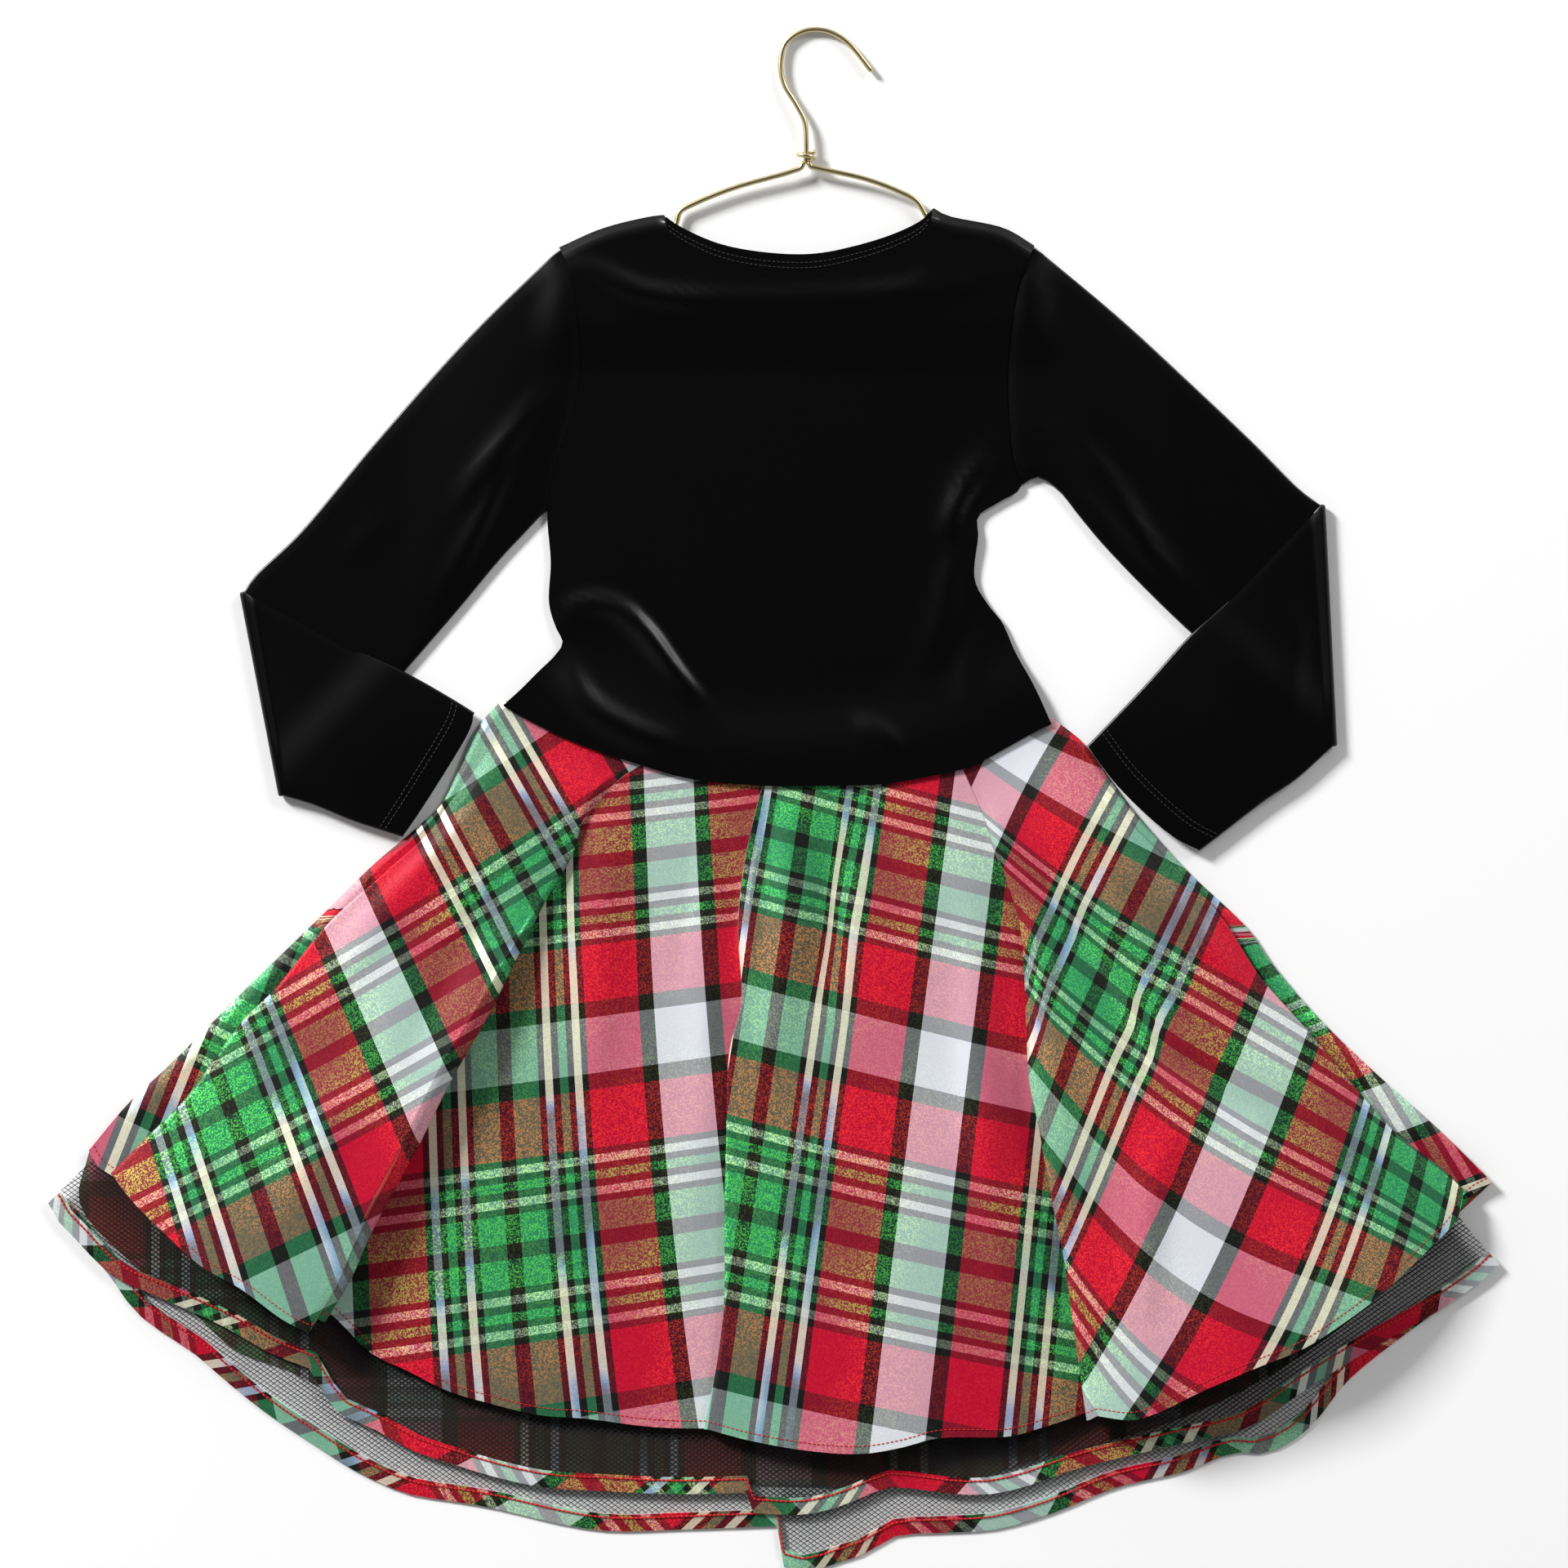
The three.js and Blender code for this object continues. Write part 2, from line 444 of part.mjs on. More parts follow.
function backSkirt() {
  const lines = FOLDS.map(({ line }) => curve(line));
  const sections = FOLDS.map((fold, k) => foldSection(fold, lines[k], lines[fold.towards]));
  const curl = (t) => (BACK_SKIRT_Z - FRONT_NET_Z) * (1 - smooth((t - 0.88) / 0.07));
  const sideEdge = (points) => {
    const line = curve(points);
    return (t) => line(t).add(new THREE.Vector3(0, WAIST_TUCK * (1 - t), BACK_SKIRT_Z - curl(t)));
  };
  const hidden = (k) => (t) => sections[k](t)[0];
  const visible = (k) => (t) => sections[k](t).at(-1);
  const bounds = [
    [sideEdge(SKIRT_LEFT), hidden(0)], [visible(0), visible(1)], [hidden(1), hidden(2)],
    [visible(2), hidden(3)], [visible(3), visible(4)], [hidden(4), sideEdge(SKIRT_RIGHT)],
  ];
  const sheets = PANELS.map(({ hem }, k) => {
    const [left, right] = bounds[k];
    const plan = (edge) => (t) => edge(t).setZ(0);
    const [from, to] = [left(1), right(1)];
    return patch({
      left: plan(left), right: plan(right), top: waistBetween(left(0), right(0)),
      bottom: curve([[from.x, from.y], ...hem, [to.x, to.y]]),
    });
  });

  const panelPoint = (k, u, t) => {
    const [left, right] = bounds[k];
    const [from, to] = [left(t), right(t)];
    const width = from.distanceTo(to);
    const { side, arch, fullness, staysUpOver } = PANELS[k];
    const point = sheets[k](u, t);
    let share = u;
    if (staysUpOver !== undefined) {
      const past = (FOLDS[staysUpOver].lap * t + STEP_DOWN_WIDTH) / width;
      share = smooth((u - past) / (0.94 - past));
    }
    const base = side ? BACK_SKIRT_Z : mix(from.z, to.z, share);
    return point.setZ(base + arch * t ** 1.2 * Math.sin(Math.PI * u) ** fullness);
  };

  return wallAbout(STATIONS.map((t) => {
    const row = [];
    PANELS.forEach(({ side, steps }, k) => {
      const [left, right] = bounds[k];
      const curled = Math.min(SEAM_CURL / left(t).distanceTo(right(t)), 0.45); // share of a side strip's width
      const [start, end] = [side === 'left' ? curled : 0, side === 'right' ? 1 - curled : 1];
      if (side === 'left') row.push(left(t), panelPoint(k, start, t));
      for (let step = 1; step < steps; step += 1) row.push(panelPoint(k, mix(start, end, step / steps), t));
      if (side === 'right') row.push(panelPoint(k, end, t), right(t));
      else row.push(...(FOLDS[k].over === 'right' ? sections[k](t) : sections[k](t).toReversed()));
    });
    return row;
  }), CLOTH);
}

// ---- front skirt and petticoat ---------------------------------------------------------------------------
function frontSkirt() {
  const [left, right] = [SKIRT_LEFT, SKIRT_RIGHT].map((points) => {
    const edge = curve(points);
    return (t) => edge(t).add(new THREE.Vector3(0, -4 * AIR * (1 - t), 0));
  });
  const seam = waistBetween(left(0), right(0));
  const top = (u) => {
    const point = seam(u);
    return point.setY(point.y + frontWaistRise(point.x));
  };
  const sheet = patch({ left, right, top, bottom: curve(FRONT_SKIRT_HEM) });
  return wallAbout(evenly(6).map((t) => evenly(16).map((u) => sheet(u, t).setZ(FRONT_SKIRT_Z))), CLOTH);
}

// The whole layer is one sheet: its net stops at the band, and the band is the last stretch to the hem.
function petticoat(hem, height, bandHeight) {
  const chain = hem.flatMap(({ steps, points }) => {
    const line = curve(points);
    return evenly(steps).map((share) => line(share));
  });
  const columns = chain.map((_, k) => k / (chain.length - 1));
  const [left, right] = [curve(NET_LEFT), curve(NET_RIGHT)];
  const ends = [chain[0].clone().sub(left(1)), chain.at(-1).clone().sub(right(1))];
  const from = (t) => left(t).addScaledVector(ends[0], t);
  const to = (t) => right(t).addScaledVector(ends[1], t);
  const sheets = chain.map((point) => patch({
    left: from, right: to, top: waistBetween(from(0), to(0)), bottom: () => point.clone(),
  }));
  const lengths = chain.map((point, k) => sheets[k](columns[k], 0).distanceTo(point));
  const at = (k, fromHem) => sheets[k](columns[k], 1 - fromHem / lengths[k]);
  const net = NET_STATIONS.map((t) => columns.map((_, k) => (
    at(k, mix(lengths[k], BAND_WIDTH + 2 * AIR, t)).setZ(height))));
  const band = [BAND_WIDTH, 0].map((fromHem) => columns.map((_, k) => (
    at(k, fromHem).setZ(fromHem ? height : bandHeight))));
  return { net: wallAbout(net, CLOTH), band: wallAbout(band, CLOTH) };
}

// ---- hanger ----------------------------------------------------------------------------------------------
const wireHeight = (y) => along(WIRE_HEIGHTS, y);

// The end of the wire wound once round the neck of the hook, just above the arms.
function hangerWrap() {
  const { x, y, halfWidth, halfHeight, climb, turns, startsAt } = WRAP;
  const coil = evenly(10).map((share) => {
    const angle = share * turns * 2 * Math.PI + THREE.MathUtils.degToRad(startsAt);
    const height = NECK_Z + halfHeight * Math.sin(angle);
    return [x + halfWidth * Math.cos(angle), y + climb * (share - 0.5), height];
  });
  return wire(coil, WRAP_RADIUS, wireHeight);
}

// ---- materials and scene graph ---------------------------------------------------------------------------
const velvet = new THREE.MeshStandardMaterial({ color: 0x0a0a0c, roughness: 0.85, metalness: 0 });
const plaid = new THREE.MeshStandardMaterial({ color: 0xb0262f, roughness: 0.55, metalness: 0.1 });
const netting = new THREE.MeshStandardMaterial({ color: 0x1a1b1d, roughness: 0.8, metalness: 0 });
const bias = new THREE.MeshStandardMaterial({ color: 0x2f7a50, roughness: 0.55, metalness: 0.1 });
const gilt = new THREE.MeshStandardMaterial({ color: 0xc8b878, roughness: 0.3, metalness: 1 });

const backPetticoat = petticoat(BACK_NET_HEM, BACK_NET_Z, BACK_NET_Z);
const frontPetticoat = petticoat(FRONT_NET_HEM, FRONT_NET_Z, CLOTH / 2 + 0.05);

const dress = new THREE.Group();
const add = (name, geometry, material) => {
  const piece = new THREE.Mesh(geometry, material);
  piece.name = name;
  dress.add(piece);
};

add('bodice_back', backBodice(), velvet);
add('bodice_front', frontBodice(), velvet);
for (const side of ['left', 'right']) add(`sleeve_${side}`, sleeve(SLEEVES[side]), velvet);
add('skirt_back', backSkirt(), plaid);
add('skirt_front', frontSkirt(), plaid);
add('petticoat_back', backPetticoat.net, netting);
add('petticoat_front', frontPetticoat.net, netting);
add('petticoat_back_band', backPetticoat.band, bias);
add('petticoat_front_band', frontPetticoat.band, bias);
add('hanger_hook', wire(HOOK, WIRE_RADIUS, wireHeight), gilt);
add('hanger_wrap', hangerWrap(), gilt);
add('hanger_left_arm', wire(LEFT_ARM, WIRE_RADIUS, wireHeight), gilt);
add('hanger_right_arm', wire(RIGHT_ARM, WIRE_RADIUS, wireHeight), gilt);
add('hanger_bar', wire(BAR, WIRE_RADIUS, wireHeight), gilt);

export default dress;
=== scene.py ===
"""Plaid dress: a girl's long-sleeved dress laid flat on its front, with a wire hanger in its shoulders.

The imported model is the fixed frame. Every cloth piece is a thin shell on the form of its own solid, and the
shapes are worked out in millimetres: +X to the right, +Y from the hem towards the hook, +Z up.
"""

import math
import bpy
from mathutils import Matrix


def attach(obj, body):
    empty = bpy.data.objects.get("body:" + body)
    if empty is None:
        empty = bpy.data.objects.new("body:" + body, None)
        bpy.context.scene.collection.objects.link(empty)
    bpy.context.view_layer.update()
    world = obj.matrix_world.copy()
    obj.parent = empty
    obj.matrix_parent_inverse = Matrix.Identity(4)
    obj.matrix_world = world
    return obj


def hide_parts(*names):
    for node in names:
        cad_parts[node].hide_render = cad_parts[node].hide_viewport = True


bl_info = {
    "name": "Plaid Dress",
    "version": (1, 0, 0),
    "blender": (4, 5, 0),
    "location": "View3D > Sidebar > Dress",
    "description": "Velvet and plaid dress laid flat, with its net petticoat and wire hanger",
    "category": "Add Mesh",
}

import bpy
import numpy as np
from bpy.props import FloatProperty, FloatVectorProperty, PointerProperty
from mathutils import Vector

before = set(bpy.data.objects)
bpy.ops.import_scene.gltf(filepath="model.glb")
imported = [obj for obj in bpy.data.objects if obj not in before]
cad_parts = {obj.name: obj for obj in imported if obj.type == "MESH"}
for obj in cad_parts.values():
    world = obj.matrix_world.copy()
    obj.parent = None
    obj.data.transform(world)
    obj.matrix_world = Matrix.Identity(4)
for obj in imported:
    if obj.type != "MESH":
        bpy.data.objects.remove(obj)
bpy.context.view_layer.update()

MM = 0.001

# ---- sizes shared with the solids, in millimetres ------------------------------------------------
VELVET = 1.2
CLOTH = 1.0
AIR = 0.3
WIRE_RADIUS = 1.6
WRAP_RADIUS = 1.3
PLEAT_PITCH = 1.6
FLAT_PLEAT = 6
SEAM_CURL = 4
WAIST_TUCK = 4
WAIST_SHARE = 0.03
FRONT_WAIST_RISE = 10
BAND_WIDTH = 10
SLEEVE_PUFF = 3
FOREARM_PUFF = 2.4
FRONT_NECK_DROP = 24
STEP_DOWN_WIDTH = 26
NECK_Z = 5.1
RAISED_ARCH = 10             # a panel with more arch than this is a flute, carried by its rolled edges

FRONT_SKIRT_Z = CLOTH / 2
FRONT_NET_Z = FRONT_SKIRT_Z + CLOTH + AIR
BACK_NET_Z = FRONT_NET_Z + CLOTH + AIR
FRONT_BAND_Z = CLOTH / 2 + 0.05          # just clear of the surface
BACK_SKIRT_Z = BACK_NET_Z + CLOTH + AIR
FRONT_BODICE_Z = VELVET / 2
BACK_BODICE_Z = FRONT_BODICE_Z + VELVET + AIR
WIRE_Z = VELVET + AIR + WIRE_RADIUS
BODICE_LIFT = BACK_SKIRT_Z + (CLOTH + VELVET) / 2 + 2 * AIR - BACK_BODICE_Z
PLEAT_RISE = 2 * PLEAT_PITCH

# Real cloth is thinner than the solid walls, so each shell lies about the middle of its wall.
VELVET_SHELL = 0.9
SKIRT_SHELL = 0.45
NET_SHELL = 0.2
BAND_SHELL = 0.8
SLEEVE_INSIDE_GAP = 0.15     # from the middle of the sleeve's wall to the inside of its cloth

# Stitching: its thread's radius on skirt hem, velvet and bands, and how it lies on the cloth.
HEM_THREAD_RADIUS = 0.28
FINE_THREAD_RADIUS = 0.24
BAND_THREAD_RADIUS = 0.6
STITCH_LIFT = 0.12
STITCH_SHARE = 0.68          # length of a stitch as a share of its pitch
BAND_STITCH_SHARE = 0.92
BAND_STITCH_INSET = 2        # from the band's upper edge

# The bands are cut on the bias: where along the sett each starts, and how far across it each lies.
BAND_START = 37
BAND_SHIFTS = {"back": 46, "front": 70}

# Towards its band the net is single. Above that, gathers add up to this share of a second layer.
GATHERED = 0.9
GATHERS_FROM = 20
GATHERS_FADE = 14
NET_CELL = (0.58, 0.82)      # how steeply the net's threads run across and along

# ---- outlines in plan: [x, y] --------------------------------------------------------------------
LEFT_SHOULDER = [[-132, 315], [-107, 326], [-79, 333], [-71, 334]]
NECK = [[-71, 334], [-67, 331], [-59, 326], [-38, 317], [-12, 312], [16, 311], [39, 315], [65, 323],
        [81, 331], [85, 335], [88, 338]]
RIGHT_SHOULDER = [[88, 338], [95, 334], [130, 326], [147, 316]]
LEFT_ARMHOLE = [[-132, 315], [-125, 300], [-121, 276], [-119, 249], [-121, 231], [-127, 209], [-134, 187],
                [-139, 162]]
RIGHT_ARMHOLE = [[147, 316], [138, 295], [133, 267], [131, 236], [132, 211], [134, 190], [139, 174]]
LEFT_SIDE = [[-137, 130], [-138, 106], [-134, 92], [-130, 83], [-134, 76], [-144, 66], [-155, 55],
             [-165, 46]]
RIGHT_SIDE = [[127, 166], [114, 157], [114, 146], [112, 120], [120, 105], [128, 95], [136, 77], [147, 57],
              [157, 35]]
WAIST = [[-165, 46], [-153, 39], [-122, 24], [-87, 12], [-55, 3], [-12, -1], [29, -1], [59, 0], [88, 5],
         [109, 10], [132, 22], [150, 32], [157, 35]]

SLEEVES = {
    "left": {
        "away": -1, "armhole": LEFT_ARMHOLE,
        "upper_outer": [[-132, 315], [-185, 263], [-239, 202], [-285, 147], [-311, 122], [-317, 113]],
        "upper_inner": [[-139, 162], [-151, 149], [-166, 133], [-191, 103], [-223, 66], [-269, 13],
                        [-294, -7]],
        "lower_outer": [[-317, 113], [-264, 85], [-223, 66], [-193, 49], [-182, 42]],
        "lower_inner": [[-294, -7], [-277, -12], [-255, -21], [-237, -27], [-224, -31]],
        "cuff": [[-182, 42], [-184, 33], [-204, -1], [-217, -21], [-224, -31]],
    },
    "right": {
        "away": 1, "armhole": RIGHT_ARMHOLE,
        "upper_outer": [[147, 316], [197, 274], [235, 239], [274, 202], [303, 173], [315, 164]],
        "upper_inner": [[139, 174], [149, 180], [161, 173], [174, 157], [190, 138], [239, 89], [288, 49],
                        [322, 22]],
        "lower_outer": [[315, 164], [258, 105], [239, 88], [211, 57], [178, 22.5]],
        "lower_inner": [[322, 22], [301, 3], [282, -10], [252, -33], [244, -39]],
        "cuff": [[178, 22.5], [197, -2.5], [228.5, -31], [244, -39]],
    },
}

SKIRT_LEFT = [[-165, 46], [-180, 29], [-191, 5], [-201, -15], [-216, -29], [-241, -50], [-271, -79],
              [-317, -123], [-362, -167], [-384, -187], [-408, -215]]
SKIRT_RIGHT = [[157, 35], [175.5, 20.5], [187.5, 4], [202.5, -16], [236, -53], [272, -87], [286, -107],
               [311, -136], [342, -166], [384, -203], [416, -234]]

# The back skirt's folds from left to right, as in the solid: over names the side whose cloth lies on top.
FOLDS = [
    {"over": "right", "towards": 1, "sharp_from": 0.3, "lap": 62, "roll": 2.4,
     "line": [[-151, 42], [-190, -12], [-235, -54], [-266, -82], [-297, -120], [-317, -140], [-350, -185],
              [-370, -205], [-394, -229]]},
    {"over": "left", "towards": 0, "sharp_from": 0.16, "lap": 66, "roll": 9,
     "line": [[-85, 16], [-103, 4], [-116, -12], [-125, -41], [-140, -67], [-156, -99], [-176, -139],
              [-196, -174], [-215, -212], [-243, -264], [-254, -289], [-269, -314]]},
    {"over": "right", "towards": 3, "sharp_from": 0.42, "lap": 60, "roll": 2.4,
     "line": [[-6, 3], [-14, -29], [-20, -66], [-23, -124], [-31, -157], [-33, -211], [-34, -259],
              [-34, -300], [-38, -338], [-46, -378]]},
    {"over": "right", "towards": 4, "sharp_from": 0.2, "lap": 66, "roll": 6.5,
     "line": [[109, 14], [125, -24], [129, -48], [139, -82], [143, -148], [144, -171], [150, -201],
              [156, -235], [165, -280], [172, -330], [178, -372]]},
    {"over": "left", "towards": 3, "sharp_from": 0.3, "lap": 60, "roll": 2.4,
     "line": [[143, 31], [199, -21], [235, -56], [256, -79], [278, -113], [307, -146], [338, -183],
              [360, -207], [385, -226], [399, -240]]},
]

PANELS = [
    {"side": "left", "steps": 12, "arch": 0, "fullness": 1,
     "hem": [[-404, -223], [-396, -229], [-380, -238]]},
    {"steps": 40, "arch": 17, "fullness": 0.75,
     "hem": [[-381, -244], [-362, -262], [-340, -281], [-317, -294], [-289, -314], [-276, -319]]},
    {"steps": 36, "arch": 3, "fullness": 1,
     "hem": [[-267, -310], [-242, -334], [-221, -344], [-197, -356], [-173, -363], [-144, -370],
             [-117, -372], [-78, -377], [-46, -378]]},
    {"steps": 45, "arch": 3, "fullness": 1, "stays_up_over": 2,
     "hem": [[-22, -384], [12, -390], [45, -392], [70, -388], [89, -383], [133, -382], [148, -378],
             [178, -368]]},
    {"steps": 50, "arch": 21, "fullness": 0.75,
     "hem": [[204, -371], [219, -366], [243, -354], [275, -340], [302, -329], [326, -314], [349, -297],
             [375, -273], [394, -254]]},
    {"side": "right", "steps": 12, "arch": 0, "fullness": 1,
     "hem": [[385, -260], [394, -254], [404, -241]]},
]
SKIRT_ROWS = 110
# Shares of the skirt's length or of a panel's width.
ROLL_OPENS_OVER = 0.4
CURL_ENDS_FROM = 0.88
CURL_ENDS_OVER = 0.07
STEPPED_DOWN_BY = 0.94
CALM_EDGES = 0.12
CALM_TOP = 0.05

FRONT_SKIRT_HEM = [[-408, -215], [-414, -246], [-385, -280], [-350, -308], [-322, -333], [-290, -345],
                   [-235, -376], [-150, -403], [-60, -410], [0, -412], [90, -412], [160, -394],
                   [230, -374], [290, -345], [345, -305], [380, -268], [416, -234]]

NET_LEFT = [[-152, 38], [-172, 22], [-183, 0], [-194, -21], [-235, -56], [-265, -85], [-311, -129],
            [-356, -172], [-378, -193], [-432, -246]]
NET_RIGHT = [[146, 29], [183, -2], [231, -58], [266, -93], [305, -142], [336, -171], [373, -216],
             [397, -255], [420, -282]]
BACK_NET_HEM = [
    {"steps": 14, "points": [[-432, -246], [-429, -253], [-418, -265], [-394, -289], [-370, -300],
                             [-330, -318], [-302, -334], [-279, -343]]},
    {"steps": 22, "points": [[-275, -350], [-262, -369], [-242, -378], [-219, -391], [-192, -400],
                             [-173, -406], [-141, -413], [-109, -415], [-61, -417], [-22, -416]]},
    {"steps": 40, "points": [[-18, -428], [12, -429], [33, -424], [48, -418], [60, -413], [102, -417],
                             [121, -417], [140, -413], [172, -402], [230, -388], [274, -377], [307, -355],
                             [346, -331], [383, -310], [413, -289], [420, -282]]},
]
FRONT_NET_HEM = [
    {"steps": 38, "points": [[-426, -254], [-397, -288], [-380, -311], [-346, -335], [-330, -349],
                             [-305, -369], [-275, -389], [-251, -404], [-221, -417], [-197, -421],
                             [-173, -425], [-125, -436], [-101, -439], [-61, -438], [-4, -436]]},
    {"steps": 40, "points": [[0, -460], [12, -463], [33, -457], [48, -452], [65, -442], [92, -440],
                             [124, -438], [156, -429], [196, -413], [235, -404], [264, -393],
                             [283, -393], [307, -380], [329, -353], [342, -341], [383, -310],
                             [415, -286]]},
]

HOOK = [[51, 419], [39, 434], [31, 440], [22, 443], [11, 442], [1, 435], [-2, 423], [0, 411], [7, 399],
        [12, 389], [13, 378], [13, 364.7]]
LEFT_ARM = [[11.2, 364.4], [10, 361.8], [5, 359.6], [-29, 350], [-52, 341], [-61, 336], [-64, 328],
            [-76, 322], [-104, 314], [-118, 310], [-122, 306]]
RIGHT_ARM = [[14.8, 364.4], [15.8, 362.4], [20, 361.3], [48, 355], [67, 348], [78, 342], [84, 333],
             [92, 326], [112, 320], [127, 314], [131, 309]]
BAR = [[-123.4, 304.4], [-121, 299], [-112, 295], [-91, 291], [-29, 286], [43, 288], [91, 291], [120, 297],
       [131, 301], [132, 306.8]]
WRAP = {"x": 13, "y": 368.8, "half_width": 4.4, "half_height": 3.4, "climb": 4.2, "turns": 1.2,
        "starts_at": -72}
WIRE_HEIGHTS = [[330, WIRE_Z], [362, NECK_Z], [376, NECK_Z], [443, WIRE_RADIUS + 0.1]]

# ---- the plaid's sett: distances in millimetres from the middle of a white stripe ----------------
# The same order runs both ways, turns at the middle of the green, and so repeats every two turns.
SETT = [("white", 0), ("black", 15.8), ("red", 25.4), ("black", 58.1), ("lurex", 61.9), ("black", 66.7),
        ("green", 70.6), ("black", 75.8), ("lurex", 79.7), ("black", 84.5), ("green", 88.3),
        ("black", 104.2)]
WHITE = 0
EDGE = 20.6
OUTER = 64.3
INNER = 82.1
GREEN = 108.5
TURN = 2 * GREEN

# Where the stripes of each panel cross as it lies: (x, y, place in the warp's sett, in the weft's sett).
CROSSINGS = {
    0: [(-403, -209, 53, TURN), (-379, -204, 67, TURN - 10), (-358, -180, INNER, TURN - 42),
        (-343, -172, 91, TURN - 59), (-331, -156, 96, TURN - 73), (-307, -127, GREEN, GREEN),
        (-278, -98, 115, 73)],
    1: [(-245, -92, WHITE, OUTER), (-230, -137, WHITE, GREEN), (-219, -159, WHITE, TURN - INNER),
        (-211, -180, WHITE, TURN - OUTER), (-299, -127, -OUTER, OUTER), (-283, -170, -OUTER, GREEN),
        (-267, -210, -OUTER, TURN - OUTER), (-322, -193, -GREEN, GREEN),
        (-356, -250, OUTER - TURN, TURN - OUTER), (-197, -63, OUTER, OUTER), (-181, -54, INNER, OUTER),
        (-161, -42, GREEN, OUTER), (-140, -29, TURN - INNER, OUTER), (-125, -19, TURN - OUTER, OUTER),
        (-157, 7, TURN - INNER, EDGE), (-206, -16, INNER, EDGE), (-158, -94, INNER, GREEN),
        (-173, -106, OUTER, GREEN), (-252, -253, -OUTER, TURN - EDGE), (-267, -262, -INNER, TURN - EDGE),
        (-292, -273, -GREEN, TURN - EDGE), (-318, -287, INNER - TURN, TURN - EDGE)],
    2: [(-67, -39, WHITE, -GREEN), (-63, -83, WHITE, -OUTER), (-60, -147, WHITE, WHITE),
        (-54, -213, WHITE, OUTER), (-49, -255, WHITE, GREEN), (-43, -303, WHITE, TURN - OUTER),
        (-38, -354, WHITE, TURN - EDGE), (-123, -156, -OUTER, WHITE), (-117, -221, -OUTER, OUTER),
        (-113, -265, -OUTER, GREEN), (-108, -314, -OUTER, TURN - OUTER), (-159, -270, -GREEN, GREEN),
        (-163, -162, -GREEN, WHITE), (-161, -229, -GREEN, OUTER), (-155, -324, -GREEN, TURN - OUTER),
        (-187, -248, INNER - TURN, INNER), (-180, -328, INNER - TURN, TURN - OUTER),
        (-205, -251, OUTER - TURN, INNER), (-124, -58, -OUTER, -96)],
    3: [(94, -165, WHITE, WHITE), (106, -56, WHITE, -GREEN), (102, -103, WHITE, -OUTER),
        (87, -226, WHITE, OUTER), (78, -276, WHITE, GREEN), (73, -325, WHITE, TURN - OUTER),
        (71, -374, WHITE, TURN - EDGE), (54, -2, -OUTER, OUTER - TURN), (43, -89, -OUTER, -OUTER),
        (34, -149, -OUTER, WHITE), (24, -214, -OUTER, OUTER), (12, -311, -OUTER, TURN - OUTER),
        (11, -34, -GREEN, -GREEN), (5, -75, -GREEN, -OUTER), (-6, -137, -GREEN, WHITE),
        (-17, -204, -GREEN, OUTER), (-22, -251, -GREEN, GREEN), (-27, -301, -GREEN, TURN - OUTER),
        (-13, -355, -INNER, TURN - EDGE), (144, -259, OUTER, 77), (133, -334, OUTER, TURN - OUTER)],
    4: [(235, -270, WHITE, WHITE), (261, -211, WHITE, -OUTER), (277, -174, WHITE, -GREEN),
        (291, -140, WHITE, OUTER - TURN), (206, -329, WHITE, OUTER), (238, -107, -OUTER, OUTER - TURN),
        (219, -151, -OUTER, -GREEN), (208, -177, -OUTER, -OUTER), (219, -97, -INNER, OUTER - TURN),
        (189, -214, -OUTER, -EDGE), (176, -203, -INNER, -EDGE), (193, -166, -INNER, -OUTER),
        (320, -245, OUTER, -OUTER), (326, -232, OUTER, -INNER), (336, -257, INNER, -OUTER),
        (341, -240, INNER, -INNER), (159, -59, OUTER - TURN, OUTER - TURN),
        (175, -69, INNER - TURN, OUTER - TURN), (160, -111, INNER - TURN, -INNER),
        (151, -133, INNER - TURN, -OUTER), (146, -100, OUTER - TURN, -INNER),
        (190, -5, OUTER - TURN, -TURN), (136, 16, -TURN, -TURN), (180, -24, OUTER - TURN, EDGE - TURN),
        (194, -33, INNER - TURN, EDGE - TURN), (217, -48, -GREEN, EDGE - TURN),
        (171, -149, -GREEN, -OUTER), (296, -302, OUTER, WHITE), (282, -331, OUTER, 29),
        (364, -252, GREEN, -INNER)],
    5: [(274, -86, 73, 96), (293, -110, GREEN, 96), (304, -132, TURN - 73, 94), (322, -156, TURN - 42, 91),
        (355, -187, TURN, 79), (377, -206, TURN + 20, 72), (398, -223, TURN + 42, 67),
        (365, -178, TURN, 66), (346, -197, TURN, 93)],
}
FIT_DEGREE = {0: 1, 1: 2, 2: 2, 3: 2, 4: 3, 5: 1}
FIT_SPAN = 100
# Below these heights in plan a narrow side strip is folded under, and so has cloth of its own.
LEFT_STRIP_FOLDED_FROM = -70
RIGHT_STRIP_FOLDED_FROM = -80
STRIP_BLEND = 14             # from one map to the other

